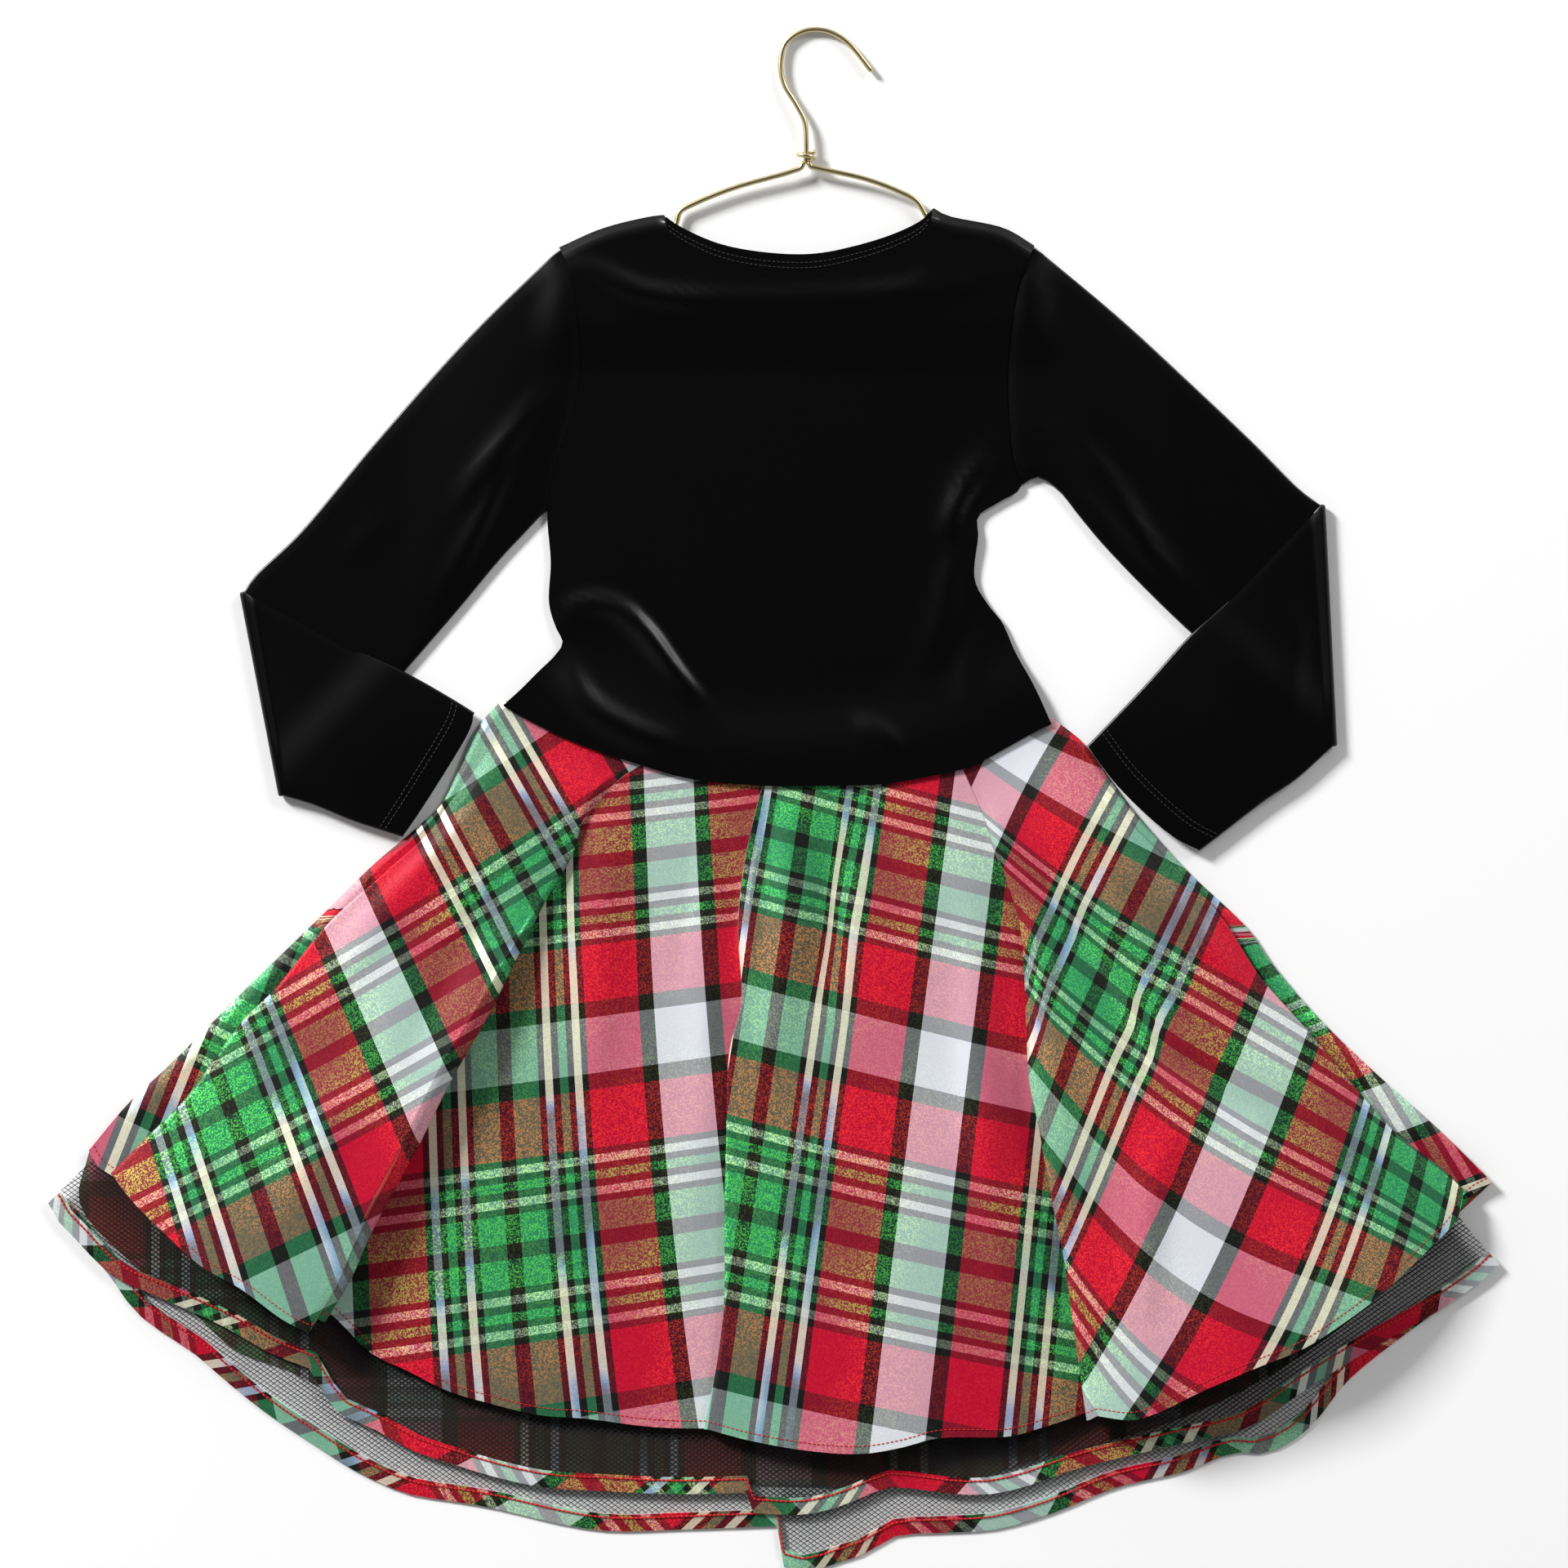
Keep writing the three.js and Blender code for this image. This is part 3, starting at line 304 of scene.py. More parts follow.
# ---- folds and creases: path in plan, height (below 0 for a trough), reach to left and right -----
RIGHT_FLUTE_TROUGH = [[158, -60], [184, -94], [208, -131], [221, -157], [250, -178], [279, -202]]
RIGHT_FLUTE_RIDGE = [[230, -196], [217, -232], [212, -270], [209, -320]]
RIGHT_FOLD_RIDGE = [[136, -60], [146, -110], [156, -170], [164, -240]]
MIDDLE_TROUGH = [[35, -12], [28, -60], [27, -92], [16, -138]]
MIDDLE_FOLD_TROUGH = [[-25, -4], [-26, -60], [-30, -124]]
LEFT_FOLD_RIDGE = [[-98, -10], [-104, -60], [-108, -120], [-112, -190]]
BACK_SKIRT_CREASES = [
    (RIGHT_FLUTE_TROUGH, -5.0, 10, 10),
    ([[176, -52], [205, -88], [232, -124], [262, -156], [296, -186]], 3.2, 10, 11),
    (RIGHT_FOLD_RIDGE, 3.4, 9, 12),
    (RIGHT_FLUTE_RIDGE, 3.4, 9, 15),
    ([[150, 10], [190, -40], [250, -96], [290, -150]], 3.0, 12, 12),
    ([[5, -2], [3, -60], [-3, -122], [-13, -176]], 4.6, 15, 13),
    (MIDDLE_TROUGH, -3.2, 10, 12),
    (MIDDLE_FOLD_TROUGH, -2.4, 8, 8),
    ([[72, 0], [84, -50], [88, -120]], 2.2, 14, 16),
    ([[100, -30], [112, -100], [116, -180], [124, -260], [138, -350]], 5.0, 16, 12),
    (LEFT_FOLD_RIDGE, 3.0, 12, 14),
    ([[-60, 0], [-66, -60], [-68, -130]], -2.0, 12, 12),
    ([[-48, -20], [-46, -90], [-44, -170], [-50, -260]], 2.2, 12, 12),
    ([[-170, 10], [-205, -40], [-240, -84], [-280, -140]], 2.6, 12, 14),
    ([[-140, -10], [-170, -66], [-200, -120], [-226, -180]], -2.4, 12, 12),
    ([[-250, -170], [-276, -220], [-300, -260]], 2.4, 16, 16),
]
# Where the cloth is drawn towards a crease, or away from it below 0: path, how far, and reach.
DRAWN_IN = [
    (RIGHT_FLUTE_TROUGH, 5.5, 14),
    (RIGHT_FLUTE_RIDGE[:3], -3.0, 12),
    (RIGHT_FOLD_RIDGE[:3], 3.0, 10),
    (MIDDLE_TROUGH, 6.0, 12),
    (MIDDLE_FOLD_TROUGH, 3.0, 9),
    (LEFT_FOLD_RIDGE[:3], -2.5, 14),
]
BACK_BODICE_CREASES = [
    ([[-130, 96], [-122, 106], [-100, 106], [-82, 92], [-64, 68], [-44, 44]], 4.8, 4, 9),
    ([[-128, 74], [-116, 50], [-92, 34], [-60, 22]], 4.4, 6, 11),
    ([[124, 196], [104, 166], [96, 140]], 3.6, 4, 8),
    ([[116, 152], [100, 128], [94, 100], [80, 60]], 2.2, 7, 8),
    ([[120, 92], [108, 66], [112, 44]], 1.3, 6, 7),
    ([[40, 38], [54, 32], [72, 18]], 2.4, 6, 8),
    ([[-130, 315], [-91, 291], [-29, 286], [43, 288], [91, 291], [134, 306]], 1.6, 4.5, 9),
    ([[-128, 310], [-108, 302], [-85, 291], [-60, 286], [-36, 285]], 3.2, 4, 8),
    ([[40, 288], [70, 292], [96, 304]], 1.2, 5, 9),
]
SLEEVE_CREASES = {
    "left": [([[-126, 226], [-140, 224], [-160, 204], [-193, 162]], 3.0, 4, 6),
             ([[-158, 197], [-181, 145], [-203, 108]], 2.6, 4, 7),
             ([[-262, 84], [-238, 40], [-228, 4]], 0.4, 8, 10), ([[-230, 160], [-262, 130]], 0.9, 7, 7)],
    "right": [([[146, 214], [166, 206], [198, 168], [217, 138], [249, 101]], 2.9, 5, 8),
              ([[164, 192], [196, 158], [231, 114]], 2.3, 4, 6),
              ([[296, 110], [302, 80], [296, 40]], 1.2, 6, 8), ([[240, 60], [262, 20]], 0.9, 8, 8)],
}

# ---- the yarns in light --------------------------------------------------------------------------
# Red: how much a yarn glints as warp. Green: whether it is the metallic one. Blue: its glint as weft.
# The glints are painted highlights: sparks painted into the base colour, and smoother cloth.
YARN_ROLES = {"white": (0.3, 0, 0.12), "black": (0.6, 0, 0.5), "red": (0.6, 0, 0.5),
              "green": (1, 0, 1), "lurex": (0.5, 1, 0.45)}
# How much of the weft shows over the warp.
WEFT_SHARES = {"white": 0.4, "black": 0.35, "red": 0.33, "green": 0.35, "lurex": 0.28}
# Painted reflection on the metallic yarn from dull to bright, the shade of its grain, and its partly painted
# flecks.
FOIL_PAINTED_REFLECTIONS = ((0.36, (0.44, 0.50, 0.55)), (0.42, (0.56, 0.74, 0.92)), (0.48, (0.93, 0.96, 0.97)),
              (0.55, (1.0, 0.98, 0.86)))
FOIL_GRAIN = (0.30, 0.32, 0.33)
FOIL_FLECK = (0.97, 0.97, 0.95)
# A painted spark: its colour is this many times the warp's and the weft's own colour, and this much more.
WARP_SPARK = (1.6, 1.6, 0.9)
WEFT_SPARK = (2.2, 3.2, 1.1)
SPARK_WARMTH = (0.09, 0.09, 0.01)
WRONG_SIDE_TINT = (0.17, 0.12, 0.05)
GRAINS_PER_MM = 1.6
# Painted reflection: broad patches of painted dullness and brightness, as if the cloth tilted.
PAINTED_TILTS_PER_MM = 0.013
PAINTED_TILT_RANGE = (0.4, 0.6)      # dull at the first tilt, bright at the second
PAINTED_DULL_PATCH = 0.25
SPARK_RANGE = (0.5, 0.78)    # a grain is no spark below the first, and a whole one above the second
FLECK_RANGE = (0.6, 0.9)
FLECK_SHARE = 0.45
GRAIN_SHARE = 0.16
FOIL_SHARE = 0.82
FOIL_METAL = 0.7
SHEEN_METAL = 0.7
PLAID_ROUGHNESS = 0.6
GLINT_SMOOTHS = 0.22         # how much less rough a yarn is where it glints
SLUB_SHADE = 0.1
SLUB_STRETCH = (1.6, 0.08)   # noise cells for each millimetre across and along a yarn
RIB_RELIEF = 0.6

# ---- stage: in metres, and watts for the lights --------------------------------------------------
CAMERA_HEIGHT = 3
CAMERA_SENSOR = 36
FRAME_WIDTH = 0.9216
SURFACE_REACH = 4
SURFACE_DROP = 0.0004
LIGHTS = (("left light", (-6.2, 5.6, 4.0), 1280, 1.9), ("right light", (6.2, 5.8, 4.8), 260, 2.4))
# The room's brightness by height, from level with the dress to straight overhead.
ROOM_TONES = ((0.0, 0.76), (0.5, 0.6), (0.8, 0.14), (0.94, 0.03))
ROOM_STRENGTH = 0.82


# ---- settings ------------------------------------------------------------------------------------
def yarn(name, description, colour):
    return FloatVectorProperty(name=name, description=description, default=colour, size=3, min=0, max=1,
                               subtype="COLOR_GAMMA")


def length(name, description, default, least, most):
    return FloatProperty(name=name, description=description, default=default, min=least, max=most,
                         unit="LENGTH", subtype="DISTANCE")


class DressSizes(bpy.types.PropertyGroup):
    stitch_pitch: length("Stitch pitch", "From one topstitch to the next", 0.0027, 0.0015, 0.005)
    hem_stitch_inset: length(
        "Hem stitching inset", "From the skirt's hem up to its red topstitching", 0.0045, 0.001, 0.02)
    neck_stitch_inset: length(
        "Neckline stitching inset", "From the neckline to its nearer row of stitching", 0.005, 0.002, 0.02)
    cuff_stitch_inset: length(
        "Cuff stitching inset", "From the sleeve's hem to its nearer row of stitching", 0.0115, 0.004, 0.03)
    twin_row_gap: length(
        "Twin row gap", "Between the two rows of twin-needle stitching", 0.0031, 0.001, 0.006)
    net_mesh: length(
        "Net mesh", "From one thread of the petticoat net to the next", 0.0023, 0.001, 0.006)
    net_thread: length("Net thread", "Width of the net's threads", 0.00036, 0.0001, 0.001)


class DressColours(bpy.types.PropertyGroup):
    white: yarn("White yarn", "Broad white stripes", (0.84, 0.85, 0.88))
    black: yarn("Black yarn", "Narrow black stripes", (0.075, 0.085, 0.09))
    red: yarn("Red yarn", "Broad red ground", (0.72, 0.04, 0.19))
    green: yarn("Green yarn", "Broad green stripes", (0.19, 0.52, 0.35))
    lurex: yarn("Metallic yarn", "Narrow pale stripes with a metallic glint", (0.70, 0.73, 0.73))
    velvet: yarn("Velvet", "Bodice and sleeves", (0.018, 0.018, 0.02))
    net: yarn("Net", "Petticoat net", (0.10, 0.115, 0.13))
    gilt: yarn("Gilt wire", "Hanger", (0.86, 0.80, 0.62))
    red_thread: yarn("Red thread", "Topstitching of the hems", (0.80, 0.05, 0.09))
    dark_thread: yarn("Dark thread", "Stitching of the neckline and cuffs", (0.17, 0.17, 0.18))


# ---- lines and sheets ----------------------------------------------------------------------------
def mix(start, end, share):
    return start + (end - start) * share


def smooth(value):
    value = np.clip(value, 0, 1)
    return value * value * (3 - 2 * value)


def unit(vectors):
    return vectors / np.maximum(np.linalg.norm(vectors, axis=-1, keepdims=True), 1e-9)


def with_z(plan, z):
    return np.concatenate([plan, np.broadcast_to(z, plan.shape[:-1])[..., None]], -1)


def lengths_along(points):
    """The distance from the first point to each one, along the line through them."""
    return np.concatenate([[0], np.cumsum(np.linalg.norm(np.diff(points, axis=0), axis=1))])


def through(keys, points):
    """A line through points at the given keys, as a function that takes arrays of any shape."""
    return lambda key: np.stack([np.interp(key, keys, column) for column in np.transpose(points)], -1)


def rounded(points, per_span=24):
    """Close points on a centripetal Catmull-Rom curve through the given ones."""
    points = np.asarray(points, float)
    padded = np.vstack([2 * points[0] - points[1], points, 2 * points[-1] - points[-2]])
    gaps = np.linalg.norm(np.diff(padded, axis=0), axis=1) ** 0.5
    share = np.linspace(0, 1, per_span, endpoint=False)[:, None]
    pieces = []
    for k in range(len(points) - 1):
        before, start, end, after = padded[k:k + 4]
        a, b, c = gaps[k:k + 3]
        leaving = b * ((start - before) / a - (end - before) / (a + b) + (end - start) / b)
        arriving = b * ((end - start) / b - (after - start) / (b + c) + (after - end) / c)
        cubic = 2 * (start - end) + leaving + arriving
        square = 3 * (end - start) - 2 * leaving - arriving
        pieces.append(((cubic * share + square) * share + leaving) * share + start)
    return np.vstack([*pieces, points[-1:]])


def curve(points):
    """A smooth line through points, by share of its length."""
    dense = rounded(points)
    run = lengths_along(dense)
    return through(run / run[-1], dense)


def patch(left, right, top, bottom, u, v):
    """A sheet over four edges: left and right by v from the top down, top and bottom by u from the left."""
    u, v = np.broadcast_arrays(np.asarray(u, float), np.asarray(v, float))
    wide, deep = u[..., None], v[..., None]
    ruled = (1 - wide) * left(v) + wide * right(v) + (1 - deep) * top(u) + deep * bottom(u)
    upper = (1 - wide) * left(0) + wide * right(0)
    lower = (1 - wide) * left(1) + wide * right(1)
    return ruled - (1 - deep) * upper - deep * lower


def waist_y(x):
    return np.interp(x, *np.transpose(WAIST))


def front_waist_rise(x):
    """The front waist seam bows upward between the side seams."""
    first, last = WAIST[0][0], WAIST[-1][0]
    return FRONT_WAIST_RISE * np.sin(math.pi * np.clip((x - first) / (last - first), 0, 1))


def waist_between(start, end, rise=lambda x: 0):
    """The stretch of waist seam between two points that lie on it or near it."""
    def seam(u):
        u = np.asarray(u, float)[..., None]
        point = mix(start, end, u)
        lift = waist_y(point[..., 0]) - mix(waist_y(start[0]), waist_y(end[0]), u[..., 0])
        point[..., 1] += lift + rise(point[..., 0])
        return point
    return seam


CREASE_ENDS = 0.02           # share of a crease at each end that gets no lower
CREASE_FULLNESS = 0.7        # below 1 a crease keeps its height for longer


def creased(plan, creases):
    """How high a set of soft ridges and troughs stands at each place in plan."""
    height = np.zeros(plan.shape[:-1])
    for path, top, left_reach, right_reach in creases:
        line = rounded(path, 10)
        run = lengths_along(line) / lengths_along(line)[-1]
        start, step = line[:-1], np.diff(line, axis=0)
        offset = plan[..., None, :] - start
        share = np.clip((offset * step).sum(-1) / (step * step).sum(-1), 0, 1)
        gap = offset - share[..., None] * step
        distance = np.linalg.norm(gap, axis=-1)
        nearest = distance.argmin(-1)[..., None]
        pick = lambda values: np.take_along_axis(values, nearest, -1)[..., 0]
        turn = step[:, 0] * gap[..., 1] - step[:, 1] * gap[..., 0]
        reach = np.where(pick(turn) > 0, left_reach, right_reach)
        along = run[nearest[..., 0]] + pick(share) * np.diff(run)[nearest[..., 0]]
        taper = np.sin(math.pi * np.clip(along, CREASE_ENDS, 1 - CREASE_ENDS)) ** CREASE_FULLNESS
        height += top * taper * np.exp(-(pick(distance) / reach) ** 2)
    return height


def drawn_in(plan):
    """The plan as the cloth would lie if it weren't drawn into its troughs."""
    shift = np.zeros_like(plan)
    for path, pull, reach in DRAWN_IN:
        line = rounded(path, 10)
        offset = plan[..., None, :] - line
        distance = np.linalg.norm(offset, axis=-1)
        nearest = distance.argmin(-1)
        gap = np.take_along_axis(offset, nearest[..., None, None], -2)[..., 0, :] / reach
        taper = np.sin(math.pi * np.clip(nearest / (len(line) - 1), 0.0, 1.0))
        fade = np.exp(-(gap ** 2).sum(-1)) * taper
        shift += pull * gap * fade[..., None]
    return plan + shift


# ---- meshes --------------------------------------------------------------------------------------
def make_mesh(name, points, faces, materials, cloth=None, face_material=None, sharp=50,
              gathers=None):
    """An object from points in millimetres, with each point's place on the cloth where it has one."""
    mesh = bpy.data.meshes.new(name)
    mesh.from_pydata((np.asarray(points) * MM).tolist(), [], [tuple(face) for face in faces])
    for material in materials:
        mesh.materials.append(material)
    corners = np.empty(len(mesh.loops), np.int32)
    mesh.loops.foreach_get("vertex_index", corners)
    for label, places in (("cloth", cloth), ("gathers", gathers)):
        if places is not None:
            layer = mesh.uv_layers.new(name=label)
            layer.data.foreach_set("uv", np.asarray(places, np.float32)[corners].ravel())
    if face_material is not None:
        mesh.polygons.foreach_set("material_index", np.asarray(face_material, np.int32))
    mesh.shade_smooth()
    mesh.set_sharp_from_angle(angle=math.radians(sharp))
    piece = bpy.data.objects.new(name, mesh)
    bpy.context.collection.objects.link(piece)
    return piece


def grid_faces(rows, columns, start=0, tube=False, flip=False):
    """Quads over a grid of points, whose last column joins the first on a tube."""
    across = columns if tube else columns - 1
    i, j = np.meshgrid(np.arange(rows - 1), np.arange(across), indexing="ij")
    here = start + i * columns + j
    beside = start + i * columns + (j + 1) % columns
    quads = np.stack([here, here + columns, beside + columns, beside], -1).reshape(-1, 4)
    return quads[:, ::-1] if flip else quads


def border_faces(rows, columns, tube=False):
    """Quads that join the edges of an upper and a lower grid."""
    number = np.arange(rows * columns).reshape(rows, columns)
    if tube:
        loops = [np.append(number[0], number[0, 0]), np.append(number[-1], number[-1, 0])[::-1]]
    else:
        loops = [np.concatenate([number[0], number[1:, -1], number[-1, -2::-1], number[-2::-1, 0]])]
    lower = rows * columns
    quads = [np.stack([loop[:-1], loop[1:], loop[1:] + lower, loop[:-1] + lower], -1) for loop in loops]
    return np.vstack(quads)


def headings(grid, axis):
    """The direction in which the grid runs along one axis at each of its points."""
    steps = unit(np.diff(grid, axis=axis))
    grid_end = [slice(None)] * grid.ndim
    grid_end[axis] = slice(0, 1)
    first = steps[tuple(grid_end)]
    grid_end[axis] = slice(-1, None)
    last = steps[tuple(grid_end)]
    return unit(np.concatenate([first, steps], axis) + np.concatenate([steps, last], axis))


def grid_normals(grid):
    return unit(np.cross(headings(grid, 0), headings(grid, 1)))


def shell(name, grid, thickness, materials, cloth, under_material=0, gathers=None):
    """A closed thin sheet about a grid of middle points. Returns it with its upper skin and normals."""
    rows, columns = grid.shape[:2]
    normals = grid_normals(grid)
    upper = grid + normals * thickness / 2
    points = np.concatenate([upper, grid - normals * thickness / 2]).reshape(-1, 3)
    faces = [grid_faces(rows, columns), grid_faces(rows, columns, rows * columns, flip=True),
             border_faces(rows, columns)]
    index = np.repeat([0, under_material, 0], [len(part) for part in faces])
    flat_cloth = np.concatenate([cloth, cloth]).reshape(-1, 2)
    if gathers is not None:
        gathers = np.repeat(np.concatenate([gathers, gathers]).reshape(-1, 1), 2, 1)
    piece = make_mesh(name, points, np.vstack(faces).tolist(), materials, flat_cloth, index,
                      gathers=gathers)
    return piece, upper, normals


def tube(name, path, radius, materials):
    """A round wire along a path, with slightly domed ends."""
    around, dome_reach, dome_width = 12, 0.6, 0.55
    path = np.asarray(path, float)
    ahead = headings(path[:, None], 0)[:, 0]
    side = np.zeros_like(path)
    side[0] = unit(np.cross(ahead[0], [0, 0, 1.0]) + 1e-6)
    for k in range(1, len(path)):
        side[k] = unit(side[k - 1] - ahead[k] * side[k - 1].dot(ahead[k]))
    up = np.cross(ahead, side)
    angles = np.linspace(0, 2 * math.pi, around, endpoint=False)
    ring = np.cos(angles)[None, :, None] * side[:, None] + np.sin(angles)[None, :, None] * up[:, None]
    skin = path[:, None] + ring * radius
    domes = []
    for end, sign in ((0, -1), (-1, 1)):
        tip = path[end] + sign * ahead[end] * radius * dome_reach
        domes.append(tip + ring[end] * radius * dome_width)
    points = np.vstack([domes[0], skin.reshape(-1, 3), domes[1]])
    rows = len(path) + 2
    faces = grid_faces(rows, around, tube=True).tolist()
    faces.append(list(range(around)))
    faces.append(list(range((rows - 1) * around, rows * around))[::-1])
    return make_mesh(name, points, faces, materials, sharp=80)


def stitches(name, rows, pitch, material, radius, length_share=STITCH_SHARE):
    """Short rounded stitches along rows of (points, normals) that lie on a surface."""
    points, faces = [], []
    sides, first_gap, arch, flatness = 6, 0.15, 0.1, 0.8
    angles = np.linspace(0, 2 * math.pi, sides, endpoint=False)
    profile = [(0.0, 0.35), (0.18, 1.0), (0.82, 1.0), (1.0, 0.35)]  # share of length, of radius
    for line, normals in rows:
        run = lengths_along(line)
        on_line, on_normal = through(run, line), through(run, normals)
        count = max(1, int(run[-1] / pitch))
        spacing = run[-1] / count
        for k in range(count):
            start = on_line((k + first_gap) * spacing)
            end = on_line((k + first_gap + length_share) * spacing)
            out = unit(on_normal((k + 0.5) * spacing))
            ahead = unit(end - start)
            across = np.cross(out, ahead)
            first = len(points)
            for share, width in profile:
                rise = STITCH_LIFT + arch * math.sin(math.pi * share)
                middle = mix(start, end, share) + out * rise
                for angle in angles:
                    spoke = math.cos(angle) * across + math.sin(angle) * out * flatness
                    points.append(middle + spoke * radius * width)
            faces += grid_faces(len(profile), sides, first, tube=True).tolist()
            faces.append(list(range(first, first + sides)))
            faces.append(list(range(first + 3 * sides, first + 4 * sides))[::-1])
    return make_mesh(name, np.array(points), faces, [material], sharp=80)


# ---- cloth coordinates ---------------------------------------------------------------------------
def fitted_cloth(rows, degree):
    """A smooth map from plan to places along the warp's and the weft's sett, fitted through crossings."""
    rows = np.array(rows, float)
    centre = rows[:, :2].mean(0)
    powers = [(i, j) for i in range(degree + 1) for j in range(degree + 1 - i)]

    def terms(plan):
        x, y = np.moveaxis((plan - centre) / FIT_SPAN, -1, 0)
        return np.stack([x ** i * y ** j for i, j in powers], -1)

    weights, *_ = np.linalg.lstsq(terms(rows[:, :2]), rows[:, 2:], rcond=None)
    return lambda plan: terms(plan) @ weights


def carried_on(own, neighbour, folded_from):
    """A side strip's map: above folded_from its cloth carries on from the next panel."""
    def cloth(plan):
        below = smooth((folded_from - plan[..., 1]) / STRIP_BLEND)[..., None]
        return mix(neighbour(plan), own(plan), below)
    return cloth


# ---- materials -----------------------------------------------------------------------------------
class Nodes:
    """Adds nodes to a tree from left to right and links the sockets that are passed in."""

    def __init__(self, tree):
        self.tree = tree
        self.column = 0

    def add(self, kind, inputs=None, **settings):
        node = self.tree.nodes.new(kind)
        node.location = (self.column * 190, 0)
        self.column += 1
        for name, value in settings.items():
            setattr(node, name, value)
        for key, value in (inputs or {}).items():
            if isinstance(value, bpy.types.NodeSocket):
                self.tree.links.new(value, node.inputs[key])
            else:
                node.inputs[key].default_value = value
        return node

    def math(self, operation, *values):
        inputs = dict(enumerate(values))
        return self.add("ShaderNodeMath", inputs, operation=operation).outputs[0]

    def blend(self, share, first, second, kind="MIX"):
        node = self.add("ShaderNodeMix", {"Factor": share}, data_type="RGBA", blend_type=kind)
        for socket, value in ((node.inputs[6], first), (node.inputs[7], second)):
            if isinstance(value, bpy.types.NodeSocket):
                self.tree.links.new(value, socket)
            else:
                socket.default_value = value
        return node.outputs[2]

    def noise(self, place, scale, detail):
        inputs = {"Vector": place, "Scale": scale, "Detail": detail}
        return self.add("ShaderNodeTexNoise", inputs).outputs["Fac"]

    def map_range(self, value, start, end, low=0.0, high=1.0):
        inputs = {"Value": value, "From Min": start, "From Max": end, "To Min": low, "To Max": high}
        return self.add("ShaderNodeMapRange", inputs).outputs[0]

    def ramp(self, factor, stops, interpolation="LINEAR"):
        node = self.add("ShaderNodeValToRGB", {"Fac": factor})
        ramp = node.color_ramp
        ramp.interpolation = interpolation
        while len(ramp.elements) < len(stops):
            ramp.elements.new(1)
        for element, (position, colour) in zip(ramp.elements, stops):
            element.position = position
            element.color = colour
        return node.outputs[0]


GAMMA = 2.2


def opaque(colour):
    return (*colour[:3], 1)


def linear(colour):
    return (*(channel ** GAMMA for channel in colour[:3]), 1)


def dimmed(colour, share):
    return opaque([channel * share for channel in linear(colour)])


def grey(value):
    return (value, value, value, 1)


def node_group(name, inputs, outputs):
    """An empty shader group with float, vector or colour sockets, its Nodes and its two ends."""
    group = bpy.data.node_groups.new(name, "ShaderNodeTree")
    for label, kind, default in inputs:
        socket = group.interface.new_socket(label, in_out="INPUT", socket_type="NodeSocket" + kind)
        if default is not None:
            socket.default_value = default
    for label, kind in outputs:
        group.interface.new_socket(label, in_out="OUTPUT", socket_type="NodeSocket" + kind)
    nodes = Nodes(group)
    return group, nodes, nodes.add("NodeGroupInput").outputs, nodes.add("NodeGroupOutput").inputs


